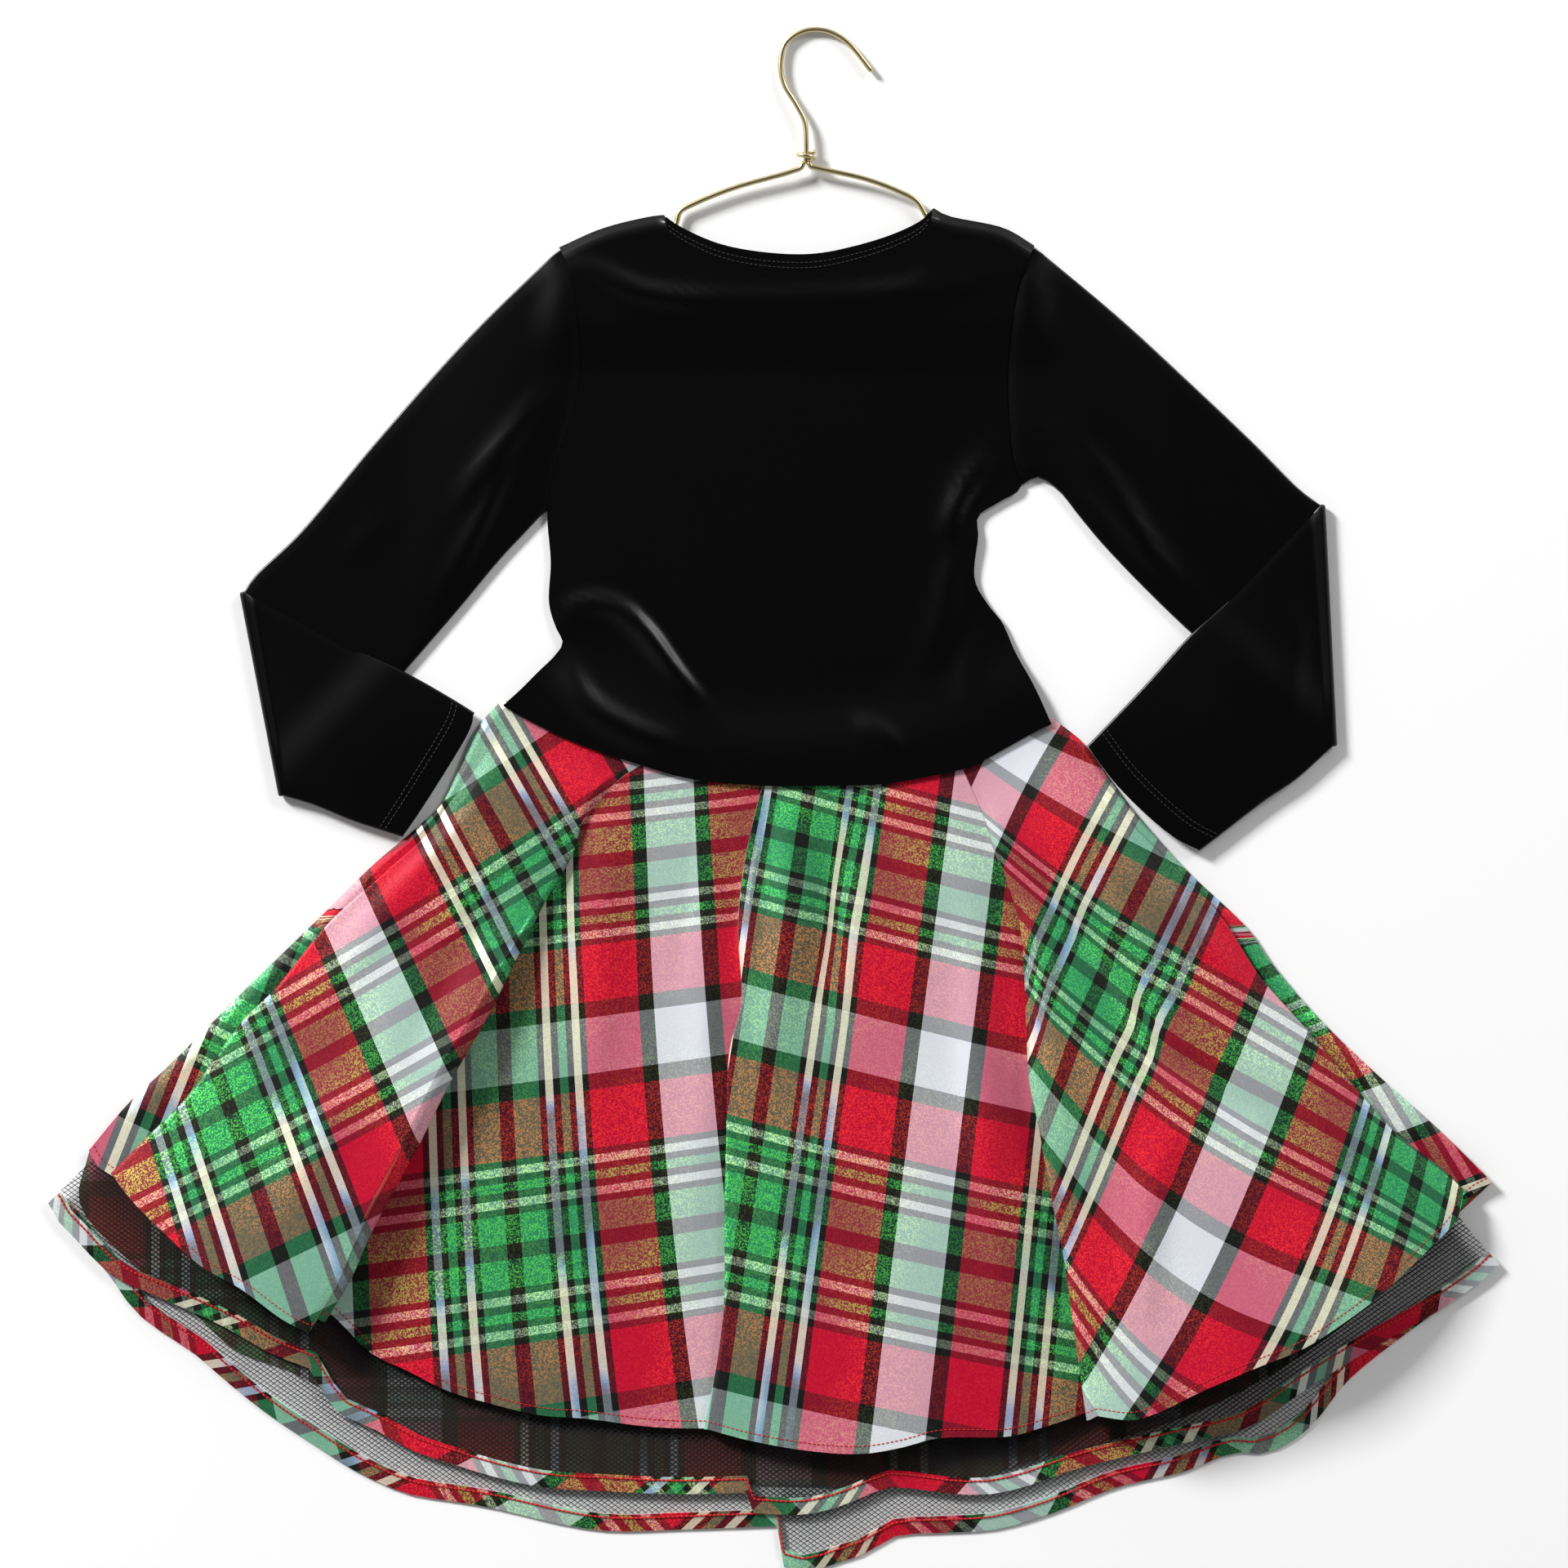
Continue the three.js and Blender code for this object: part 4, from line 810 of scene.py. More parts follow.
def sett_group(colours):
    """The sett both ways: its colour, with painted reflection on the metallic yarn, and its painted sparks.
    """
    name = "Plaid sett"
    if name in bpy.data.node_groups:
        return bpy.data.node_groups[name]
    group, nodes, given, out = node_group(
        name, [("Cloth", "Vector", None)],
        [("Color", "Color"), ("Flash", "Color"), ("Glint", "Float"), ("Sparkle", "Float"),
         ("Metal", "Float")])
    colour_stops = [(place / GREEN, (*getattr(colours, name), WEFT_SHARES[name])) for name, place in SETT]
    role_stops = [(place / GREEN, opaque(YARN_ROLES[name])) for name, place in SETT]
    places = nodes.add("ShaderNodeSeparateXYZ", {0: given["Cloth"]}).outputs
    bands, roles_here = [], []
    for axis in (0, 1):
        share = nodes.math("DIVIDE", nodes.math("PINGPONG", places[axis], GREEN), GREEN)
        bands.append(nodes.ramp(share, colour_stops, "CONSTANT"))
        role = nodes.ramp(share, role_stops, "CONSTANT")
        roles_here.append(nodes.add("ShaderNodeSeparateColor", {0: role}).outputs)
    warp, weft = roles_here

    grains = nodes.add("ShaderNodeTexVoronoi",
                       {"Vector": given["Cloth"], "Scale": GRAINS_PER_MM, "Randomness": 1.0},
                       voronoi_dimensions="2D").outputs["Color"]
    grain = nodes.add("ShaderNodeSeparateColor", {0: grains}).outputs
    # Painted reflection: broad noise patches paint the metal yarn dull or bright and damp its sparks.
    tilt = nodes.add("ShaderNodeTexNoise", {"Vector": given["Cloth"], "Scale": PAINTED_TILTS_PER_MM, "Detail": 1.0},
                     noise_dimensions="2D").outputs
    painted_tilt_share = nodes.map_range(tilt["Fac"], *PAINTED_TILT_RANGE, PAINTED_DULL_PATCH, 1.0)
    reflection_place = nodes.add("ShaderNodeSeparateColor", {0: tilt["Color"]}).outputs[1]
    foil = nodes.ramp(reflection_place, [(place, opaque(colour)) for place, colour in FOIL_PAINTED_REFLECTIONS])
    foil = nodes.blend(nodes.math("MULTIPLY", grain[2], GRAIN_SHARE), foil, opaque(FOIL_GRAIN))
    woven = nodes.blend(bands[1].node.outputs["Alpha"], *bands)
    # Metallic weft flecks: partly its own pale colour, partly painted glint; fewer in painted dull patches.
    flecks = nodes.map_range(grain[1], *FLECK_RANGE)
    flecks = nodes.math("MULTIPLY", nodes.math("MULTIPLY", flecks, painted_tilt_share), weft[1])
    woven = nodes.blend(nodes.math("MULTIPLY", flecks, FLECK_SHARE), woven, opaque(FOIL_FLECK))
    woven = nodes.blend(nodes.math("MULTIPLY", warp[1], FOIL_SHARE), woven, foil)

    # Painted highlight: sparks of grains where the yarns glint, painted as brighter colour.
    shine = nodes.math("MULTIPLY", warp[0], weft[2])
    sparks = nodes.map_range(grain[0], *SPARK_RANGE)
    sparks = nodes.math("MULTIPLY", nodes.math("MULTIPLY", sparks, painted_tilt_share), shine)
    plain = [nodes.add("ShaderNodeGamma", {"Color": band, "Gamma": GAMMA}).outputs[0] for band in bands]
    lit = [nodes.blend(1.0, colour, opaque(gain), "MULTIPLY")
           for colour, gain in zip(plain, (WARP_SPARK, WEFT_SPARK))]
    flash = nodes.blend(1.0, nodes.blend(1.0, *lit, "ADD"), opaque(SPARK_WARMTH), "ADD")
    nodes.tree.links.new(woven, out["Color"])
    nodes.tree.links.new(flash, out["Flash"])
    nodes.tree.links.new(shine, out["Glint"])
    nodes.tree.links.new(sparks, out["Sparkle"])
    nodes.tree.links.new(warp[1], out["Metal"])
    return group


def weave_group():
    """Fine crossing ribs in the cloth's own directions, as a height from 0 to 1."""
    name = "Ribbed weave"
    if name in bpy.data.node_groups:
        return bpy.data.node_groups[name]
    group, nodes, given, out = node_group(
        name, [("Cloth", "Vector", None), ("Rib pitch", "Float", 0.8)],
        [("Height", "Float"), ("Slub", "Float")])
    places = nodes.add("ShaderNodeSeparateXYZ", {0: given["Cloth"]}).outputs
    half = nodes.math("MULTIPLY", given["Rib pitch"], 0.5)
    ribs = [nodes.math("DIVIDE", nodes.math("PINGPONG", places[axis], half), half) for axis in (0, 1)]
    slubs = []
    for stretch in ((*SLUB_STRETCH, 1), (*SLUB_STRETCH[::-1], 1)):
        place = nodes.add("ShaderNodeVectorMath", {0: given["Cloth"], 1: stretch},
                          operation="MULTIPLY").outputs[0]
        slubs.append(nodes.add("ShaderNodeTexNoise", {"Vector": place, "Scale": 1.0, "Detail": 2.0},
                               noise_dimensions="2D").outputs["Fac"])
    slub = nodes.math("MULTIPLY", nodes.math("ADD", *slubs), 0.5)
    rib = nodes.math("MULTIPLY", nodes.math("ADD", *ribs), 0.5)
    nodes.tree.links.new(nodes.math("ADD", nodes.math("MULTIPLY", rib, RIB_RELIEF), slub), out["Height"])
    nodes.tree.links.new(slub, out["Slub"])
    return group


def new_material(name):
    """A material with a Principled shader, its Nodes and the shader's input sockets."""
    material = bpy.data.materials.new(name)
    material.use_nodes = True
    tree = material.node_tree
    tree.nodes.clear()
    nodes = Nodes(tree)
    shader = nodes.add("ShaderNodeBsdfPrincipled")
    nodes.add("ShaderNodeOutputMaterial", {"Surface": shader.outputs[0]})
    return material, nodes, shader.inputs


def set_sockets(sockets, nodes, **values):
    for name, value in values.items():
        socket = sockets[name.replace("_", " ").title().replace("Ior", "IOR")]
        if isinstance(value, bpy.types.NodeSocket):
            nodes.tree.links.new(value, socket)
        else:
            socket.default_value = value


def cloth_coordinates(nodes):
    return nodes.add("ShaderNodeUVMap", uv_map="cloth").outputs[0]


def bump(nodes, height, strength, distance):
    inputs = {"Height": height, "Strength": strength, "Distance": distance}
    return nodes.add("ShaderNodeBump", inputs).outputs[0]


def velvet_material(name, colours):
    """Black pile that is brushed this way and that, so its level parts differ a little."""
    material, nodes, sockets = new_material(name)
    place = nodes.add("ShaderNodeTexCoord").outputs["Object"]
    nap = nodes.noise(place, 1400.0, 3.0)
    brushed = nodes.noise(place, 26.0, 3.0)
    colour = nodes.blend(brushed, linear(colours.velvet), dimmed(colours.velvet, 2.5))
    height = nodes.math("ADD", nap, nodes.math("MULTIPLY", brushed, 2.0))
    set_sockets(sockets, nodes, base_color=colour, roughness=0.31, specular_ior_level=0.34,
                normal=bump(nodes, height, 0.1, 0.0003))
    return material


def plaid_material(name, colours, bias=False, dull=False):
    """The woven plaid: right side, wrong side (dull) or cut on the bias for bands."""
    material, nodes, sockets = new_material(name)
    place = cloth_coordinates(nodes)
    if bias:
        place = nodes.add("ShaderNodeVectorRotate", {"Vector": place, "Angle": math.radians(45)},
                          rotation_type="Z_AXIS").outputs[0]
    sett = nodes.add("ShaderNodeGroup", {}, node_tree=sett_group(colours))
    nodes.tree.links.new(place, sett.inputs[0])
    weave = nodes.add("ShaderNodeGroup", {}, node_tree=weave_group())
    nodes.tree.links.new(place, weave.inputs[0])
    slubbed = nodes.blend(SLUB_SHADE, sett.outputs["Color"], weave.outputs["Slub"], "OVERLAY")
    lit = nodes.add("ShaderNodeGamma", {"Color": slubbed, "Gamma": GAMMA}).outputs[0]
    if dull:
        colour = nodes.blend(0.5, lit, opaque(WRONG_SIDE_TINT))
        set_sockets(sockets, nodes, base_color=colour, roughness=0.8, specular_ior_level=0.2)
    else:
        # Painted highlight: where a grain sparks, the base colour is painted brighter.
        colour = nodes.blend(sett.outputs["Sparkle"], lit, sett.outputs["Flash"])
        smoother = nodes.math("MULTIPLY", sett.outputs["Glint"], GLINT_SMOOTHS)
        roughness = nodes.math("SUBTRACT", PLAID_ROUGHNESS, smoother)
        foil = nodes.math("MULTIPLY", sett.outputs["Metal"], FOIL_METAL)
        metal = nodes.math("MAXIMUM", sett.outputs["Sparkle"], foil)
        set_sockets(sockets, nodes, base_color=colour, roughness=roughness,
                    metallic=nodes.math("MULTIPLY", metal, SHEEN_METAL), specular_ior_level=0.2)
    set_sockets(sockets, nodes, normal=bump(nodes, weave.outputs["Height"], 0.3, 0.0003))
    return material


def net_material(name, sizes, colours):
    """Open net whose cells are wider than they are tall, cut out by alpha."""
    material, nodes, sockets = new_material(name)
    places = nodes.add("ShaderNodeSeparateXYZ", {0: cloth_coordinates(nodes)}).outputs
    pitch, thread = sizes.net_mesh / MM, sizes.net_thread / MM
    gaps = []
    for operation in ("ADD", "SUBTRACT"):
        parts = [nodes.math("MULTIPLY", places[axis], NET_CELL[axis]) for axis in (0, 1)]
        diagonal = nodes.math(operation, *parts)
        gaps.append(nodes.math("PINGPONG", diagonal, pitch / 2))
    gathers = nodes.add("ShaderNodeUVMap", uv_map="gathers").outputs[0]
    layers = nodes.add("ShaderNodeSeparateXYZ", {0: gathers}).outputs[0]
    reach = nodes.math("MULTIPLY", nodes.math("ADD", layers, 1), thread / 2)
    solid = nodes.math("LESS_THAN", nodes.math("MINIMUM", *gaps), reach)
    set_sockets(sockets, nodes, base_color=linear(colours.net), roughness=0.75,
                specular_ior_level=0.3, alpha=solid)
    return material


def wire_material(name, colours):
    """Pale gold wire, rubbed smoother in places."""
    material, nodes, sockets = new_material(name)
    place = nodes.add("ShaderNodeTexCoord").outputs["Object"]
    worn = nodes.noise(place, 180.0, 4.0)
    colour = nodes.blend(worn, linear(colours.gilt), dimmed(colours.gilt, 0.8))
    roughness = nodes.map_range(worn, 0.0, 1.0, 0.22, 0.42)
    set_sockets(sockets, nodes, base_color=colour, metallic=1.0, roughness=roughness,
                normal=bump(nodes, worn, 0.08, 0.0002))
    return material


def thread_material(name, colour):
    """Twisted sewing thread."""
    material, nodes, sockets = new_material(name)
    place = nodes.add("ShaderNodeTexCoord").outputs["Object"]
    twist = nodes.noise(place, 2400.0, 2.0)
    shade = nodes.blend(twist, linear(colour), dimmed(colour, 0.7))
    set_sockets(sockets, nodes, base_color=shade, roughness=0.55, normal=bump(nodes, twist, 0.2, 0.0001))
    return material


def shared(name, make, *arguments, **kind):
    """A material that is made once and then shared by the pieces that use it."""
    return bpy.data.materials.get(name) or make(name, *arguments, **kind)


# ---- bodice --------------------------------------------------------------------------------------
# The cloth starts to rise at these edges in plan, and is up after the fade inside them.
HANGER_LEFT = -152
HANGER_RIGHT = 166
HANGER_FADE = 24
HANGER_BOTTOM = 240
HANGER_BOTTOM_FADE = 34

# Shares of the bodice's length: its close rows, its rise over the skirt and where creases are full.
CLOSE_ROWS = (0.005, 0.011, 0.017)
WAIST_LIFT_FROM = 0.8
WAIST_LIFT_SPAN = 0.14
CREASES_FROM_TOP = 0.05
CREASES_FROM_WAIST = 0.03


def over_hanger(plan):
    """How much of the full lift the cloth takes at a place, to pass over the hanger."""
    x, y = plan[..., 0], plan[..., 1]
    left, right = smooth((x - HANGER_LEFT) / HANGER_FADE), smooth((HANGER_RIGHT - x) / HANGER_FADE)
    return smooth((y - HANGER_BOTTOM) / HANGER_BOTTOM_FADE) * left * right


def close_to_ends(count, nearest=(0.006, 0.014, 0.028)):
    """Even shares from 0 to 1 with extra close ones at both ends."""
    inner = np.linspace(nearest[-1], 1 - nearest[-1], count)
    return np.concatenate([[0], nearest[:-1], inner, [1 - near for near in nearest[-2::-1]], [1]])


def bodice_grid(neck_drop, waist_rise):
    """One side of the bodice in plan, with its rows' shares of the length."""
    shoulders = np.linspace(0, 1, 12)
    tops = ((LEFT_SHOULDER, shoulders[:-1]), (NECK, close_to_ends(44)[:-1]), (RIGHT_SHOULDER, shoulders))
    stretches = []
    for points, shares in tops:
        line = curve(points)(shares)
        if points is NECK:
            line[:, 1] -= neck_drop * np.sin(math.pi * shares)
        stretches.append(line)
    top = np.vstack(stretches)
    run = lengths_along(top)
    columns = run / run[-1]
    rows = close_to_ends(72, CLOSE_ROWS)
    seam = curve(WAIST)

    def bottom(share):
        point = seam(share)
        point[..., 1] += waist_rise(point[..., 0])
        return point

    left, right = curve(LEFT_ARMHOLE + LEFT_SIDE), curve(RIGHT_ARMHOLE + RIGHT_SIDE)
    plan = patch(left, right, through(columns, top), bottom, columns[None, :], rows[:, None])
    return plan, rows


def back_bodice_grid():
    """Middle points of the back bodice, which passes over the hanger and over the skirt's top."""
    plan, rows = bodice_grid(0, lambda x: 0)
    v = np.broadcast_to(rows[:, None], plan.shape[:2])
    beyond_neck = (plan[..., 0] < NECK[0][0] + 1) | (plan[..., 0] > NECK[-1][0] - 1)
    shoulder_edge = np.where(beyond_neck, smooth(v / CLOSE_ROWS[-1]), 1)
    over_wire = over_hanger(plan) * shoulder_edge
    over_skirt = smooth((v - WAIST_LIFT_FROM) / WAIST_LIFT_SPAN)
    lift = BODICE_LIFT * np.maximum(over_wire, over_skirt)
    inside = smooth(v / CREASES_FROM_TOP) * smooth((1 - v) / CREASES_FROM_WAIST)
    return with_z(plan, BACK_BODICE_Z + lift + creased(plan, BACK_BODICE_CREASES) * inside)


class DRESS_OT_bodice(bpy.types.Operator):
    """Add the back and front of the velvet bodice, which the skirt and sleeves are sewn to"""
    bl_idname = "dress.bodice"
    bl_label = "Bodice"

    def execute(self, context):
        settings, colours = context.scene.dress, context.scene.dress_colours
        velvet = shared("velvet pile", velvet_material, colours)
        thread = shared("dark thread", thread_material, colours.dark_thread)
        grid = back_bodice_grid()
        back, upper, normals = shell("bodice_back_cloth", grid, VELVET_SHELL, [velvet], grid[..., :2])
        plan, _ = bodice_grid(FRONT_NECK_DROP, front_waist_rise)
        front_grid = with_z(plan, FRONT_BODICE_Z)
        front, _, _ = shell("bodice_front_cloth", front_grid, VELVET_SHELL, [velvet], plan)
        for piece, node, area in ((back, "bodice_back", 0.084), (front, "bodice_front", 0.079)):
            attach(piece, "root")
            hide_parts(node)

        inset, gap = settings.neck_stitch_inset / MM, settings.twin_row_gap / MM
        columns = neck_columns(upper)
        rows = [row_below_edge(upper, normals, inset + extra, columns) for extra in (0, gap)]
        neck = stitches("neckline_stitching", rows, settings.stitch_pitch / MM, thread,
                        FINE_THREAD_RADIUS)
        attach(neck, "root")
        return {"FINISHED"}


def neck_columns(upper):
    """The columns of a bodice skin whose top lies on the neckline."""
    x = upper[0, :, 0]
    return np.nonzero((x > NECK[0][0] + 1) & (x < NECK[-1][0] - 1))[0]


def row_below_edge(upper, normals, inset, columns, from_last=False):
    """A line at an even distance from a skin's first or last row, with the skin's normals along it."""
    line, out = [], []
    for j in columns:
        column, facing = upper[:, j], normals[:, j]
        if from_last:
            column, facing = column[::-1], facing[::-1]
        run = lengths_along(column)
        line.append(through(run, column)(inset))
        out.append(through(run, facing)(inset))
    return np.array(line), np.array(out)


# ---- sleeves -------------------------------------------------------------------------------------
TUBE_HALF = (VELVET + AIR) / 2
CREASE_HALF = TUBE_HALF * 2
FOREARM_RISE = 2 * CREASE_HALF
FLAT_STEPS = 18              # across a wall of the flattened tube
EDGE_ANGLES = (60, 30, 0, -30, -60)
TUCK_IN = 1.6                # how far the armhole's edge runs in under the bodice
TUCK_DOWN = 1.0
TUCK_ROWS = (0, 0.008, 0.018, 0.03)      # shares of the upper arm's length
PUFF_SHARE = 0.55
STRAIGHT_FROM = 0.6          # its inner edge is straight from here to the elbow
# The forearm starts to rise this far outside the upper arm's inner edge, and is up after this width.
RISE_STARTS_OUTSIDE = 31
RISE_WIDTH = 28


def sleeve_rings(pattern):
    """Each ring across the flat sleeve: its middle line by share, its up, its puff and its tuck."""
    away = pattern["away"]
    outer, inner = curve(pattern["upper_outer"]), curve(pattern["upper_inner"])
    fore_outer, fore_inner = curve(pattern["lower_outer"]), curve(pattern["lower_inner"])
    seam, hem = curve(pattern["armhole"]), curve(pattern["cuff"])
    up = np.array([0, 0, 1.0])

    def bow(line, share):
        return line(share) - mix(line(0), line(1), share[:, None])

    crease = unit(outer(1) - inner(1))
    outward = np.array([abs(crease[1]) * away, -crease[0] * np.sign(crease[1]) * away, 0])
    edge_start = inner(STRAIGHT_FROM)
    edge = unit(inner(1) - edge_start)
    inside = np.array([-edge[1], edge[0]]) * -away
    middle_z = TUBE_HALF + VELVET / 2
    rings = []
    for t in np.concatenate([TUCK_ROWS, np.linspace(0.05, 1, 40)]):
        fade = (1 - t) ** 1.5
        tucked = 1 - smooth(t / TUCK_ROWS[-1])

        def line(share, t=t, fade=fade, tucked=tucked):
            plan = mix(outer(t), inner(t), share[:, None]) + bow(seam, share) * fade
            plan[:, 0] -= away * TUCK_IN * tucked
            return with_z(plan, middle_z)
        rings.append((line, up, SLEEVE_PUFF * math.sin(math.pi * min(1, t / PUFF_SHARE)), tucked))
    for turn in np.radians(np.linspace(0, 180, 14)[1:]):
        spoke = outward * math.sin(turn) - up * math.cos(turn)

        def line(share, spoke=spoke):
            plan = mix(outer(1), inner(1), share[:, None])
            return with_z(plan, middle_z + CREASE_HALF) + spoke * CREASE_HALF
        rings.append((line, -spoke, 0, 0))
    for t in np.linspace(0.03, 1, 40):
        def line(share, t=t):
            plan = mix(fore_outer(t), fore_inner(t), share[:, None]) + bow(hem, share) * t ** 2
            raised = smooth(((plan - edge_start) @ inside + RISE_STARTS_OUTSIDE) / RISE_WIDTH)
            return with_z(plan, middle_z + FOREARM_RISE * raised)
        rings.append((line, -up, -FOREARM_PUFF * math.sin(math.pi * t), 0))
    return rings


def sleeve_skin(rings, half, creases):
    """One skin of the tube, half its thickness from each ring's middle line."""
    flat = np.linspace(0, 1, FLAT_STEPS + 1)
    turn = np.array(EDGE_ANGLES)
    edge = np.ones(len(turn))
    shares = np.concatenate([flat, edge, flat[::-1], 0 * edge])
    angles = np.radians(np.concatenate([np.full(len(flat), 90), turn, np.full(len(flat), -90), turn - 180]))
    skin = []
    for line, normal, puff, tucked in rings:
        ends = line(np.array([0.0, 1.0]))
        width = np.linalg.norm(ends[1] - ends[0])
        across = unit(ends[1] - ends[0])
        inset = (TUBE_HALF + VELVET / 2) / width
        point = line(inset + shares * (1 - 2 * inset))
        lift = BODICE_LIFT * over_hanger(point) if normal[2] == 1 else 0
        above = np.sin(angles) * (1 if puff >= 0 else -1)
        point = point + across * half * np.cos(angles)[:, None] + normal * half * np.sin(angles)[:, None]
        crown = abs(puff) * np.sin(math.pi * shares)
        shared_lift = lift * np.sin(math.pi * np.minimum(shares * 3, 0.5))
        pressed = creased(point[:, :2], creases) * np.sin(math.pi * shares) ** 0.5
        point[:, 2] += np.maximum(0, above) * (crown + shared_lift + pressed - TUCK_DOWN * tucked)
        skin.append(point)
    return np.array(skin)


class DRESS_OT_sleeves(bpy.types.Operator):
    """Add the two long sleeves, each a flat tube folded once at the elbow"""
    bl_idname = "dress.sleeves"
    bl_label = "Sleeves"

    def execute(self, context):
        settings, colours = context.scene.dress, context.scene.dress_colours
        velvet = shared("velvet pile", velvet_material, colours)
        thread = shared("dark thread", thread_material, colours.dark_thread)
        for side, pattern in SLEEVES.items():
            rings = sleeve_rings(pattern)
            outside = sleeve_skin(rings, TUBE_HALF + VELVET / 2, SLEEVE_CREASES[side])
            inside = sleeve_skin(rings, TUBE_HALF - SLEEVE_INSIDE_GAP, SLEEVE_CREASES[side])
            count, around = outside.shape[:2]
            points = np.concatenate([outside, inside]).reshape(-1, 3)
            faces = np.vstack([grid_faces(count, around, tube=True),
                               grid_faces(count, around, count * around, tube=True, flip=True),
                               border_faces(count, around, tube=True)])
            if pattern["away"] > 0:
                faces = faces[:, ::-1]
            piece = make_mesh(f"sleeve_{side}_cloth", points, faces.tolist(), [velvet], points[:, :2],
                              sharp=60)
            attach(piece, "root")
            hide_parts(f"sleeve_{side}")

            inset, gap = settings.cuff_stitch_inset / MM, settings.twin_row_gap / MM
            first = FLAT_STEPS + 1 + len(EDGE_ANGLES)
            shown = range(first, first + FLAT_STEPS + 1)
            upright = np.broadcast_to([0, 0, 1.0], outside.shape)
            rows = [row_below_edge(outside, upright, inset + extra, shown, from_last=True)
                    for extra in (0, gap)]
            cuff = stitches(f"cuff_{side}_stitching", rows, settings.stitch_pitch / MM, thread,
                            FINE_THREAD_RADIUS)
            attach(cuff, "root")
        return {"FINISHED"}


# ---- skirt ---------------------------------------------------------------------------------------
def fold_profile(roll):
    """A closed fold from the hidden turn to the visible edge: share of the lap, bulge and height."""
    turn = np.radians(np.linspace(-90, 90, 9))
    half = PLEAT_PITCH / 2
    roll = np.asarray(roll, float)[:, None]
    flat = np.ones_like(roll)
    hidden = [flat * np.ones(len(turn)), flat * half * np.cos(turn), flat * half * (1 + np.sin(turn))]
    middle = [flat * [0.75, 0.5, 0.25], flat * np.zeros(3), flat * np.full(3, PLEAT_PITCH)]
    shown = [flat * np.zeros(len(turn)), roll * (1 - np.cos(turn)) - half,
             PLEAT_PITCH + roll * (1 + np.sin(turn))]
    return [np.concatenate(parts, 1) for parts in zip(hidden, middle, shown)]


def fold_section(fold, line, opposite):
    """One fold's points at each share of the length, from the hidden turn to the visible edge."""
    def section(t):
        t = np.atleast_1d(t)
        edge = line(t)
        towards = unit(opposite(t) - edge)
        roll = mix(PLEAT_PITCH / 2, fold["roll"], smooth((t - fold["sharp_from"]) / ROLL_OPENS_OVER))
        lap_share, bulge, closed_height = fold_profile(roll)
        level = np.linspace(0, 1, lap_share.shape[1])
        sharp_from = fold["sharp_from"]
        closing = 2 * (t - WAIST_SHARE) / (sharp_from - WAIST_SHARE)
        rise, turn = smooth(closing)[:, None], smooth(closing - 1)[:, None]
        lap = 1 + fold["lap"] * np.maximum(0, (t - sharp_from) / (1 - sharp_from))[:, None]
        across = mix(FLAT_PLEAT * (level - 1)[None], lap * lap_share + bulge, turn)
        height = rise * mix(level[None] * PLEAT_RISE, closed_height, turn)
        plan = edge[:, None] + towards[:, None] * across[..., None]
        return with_z(plan, BACK_SKIRT_Z + height)
    return section


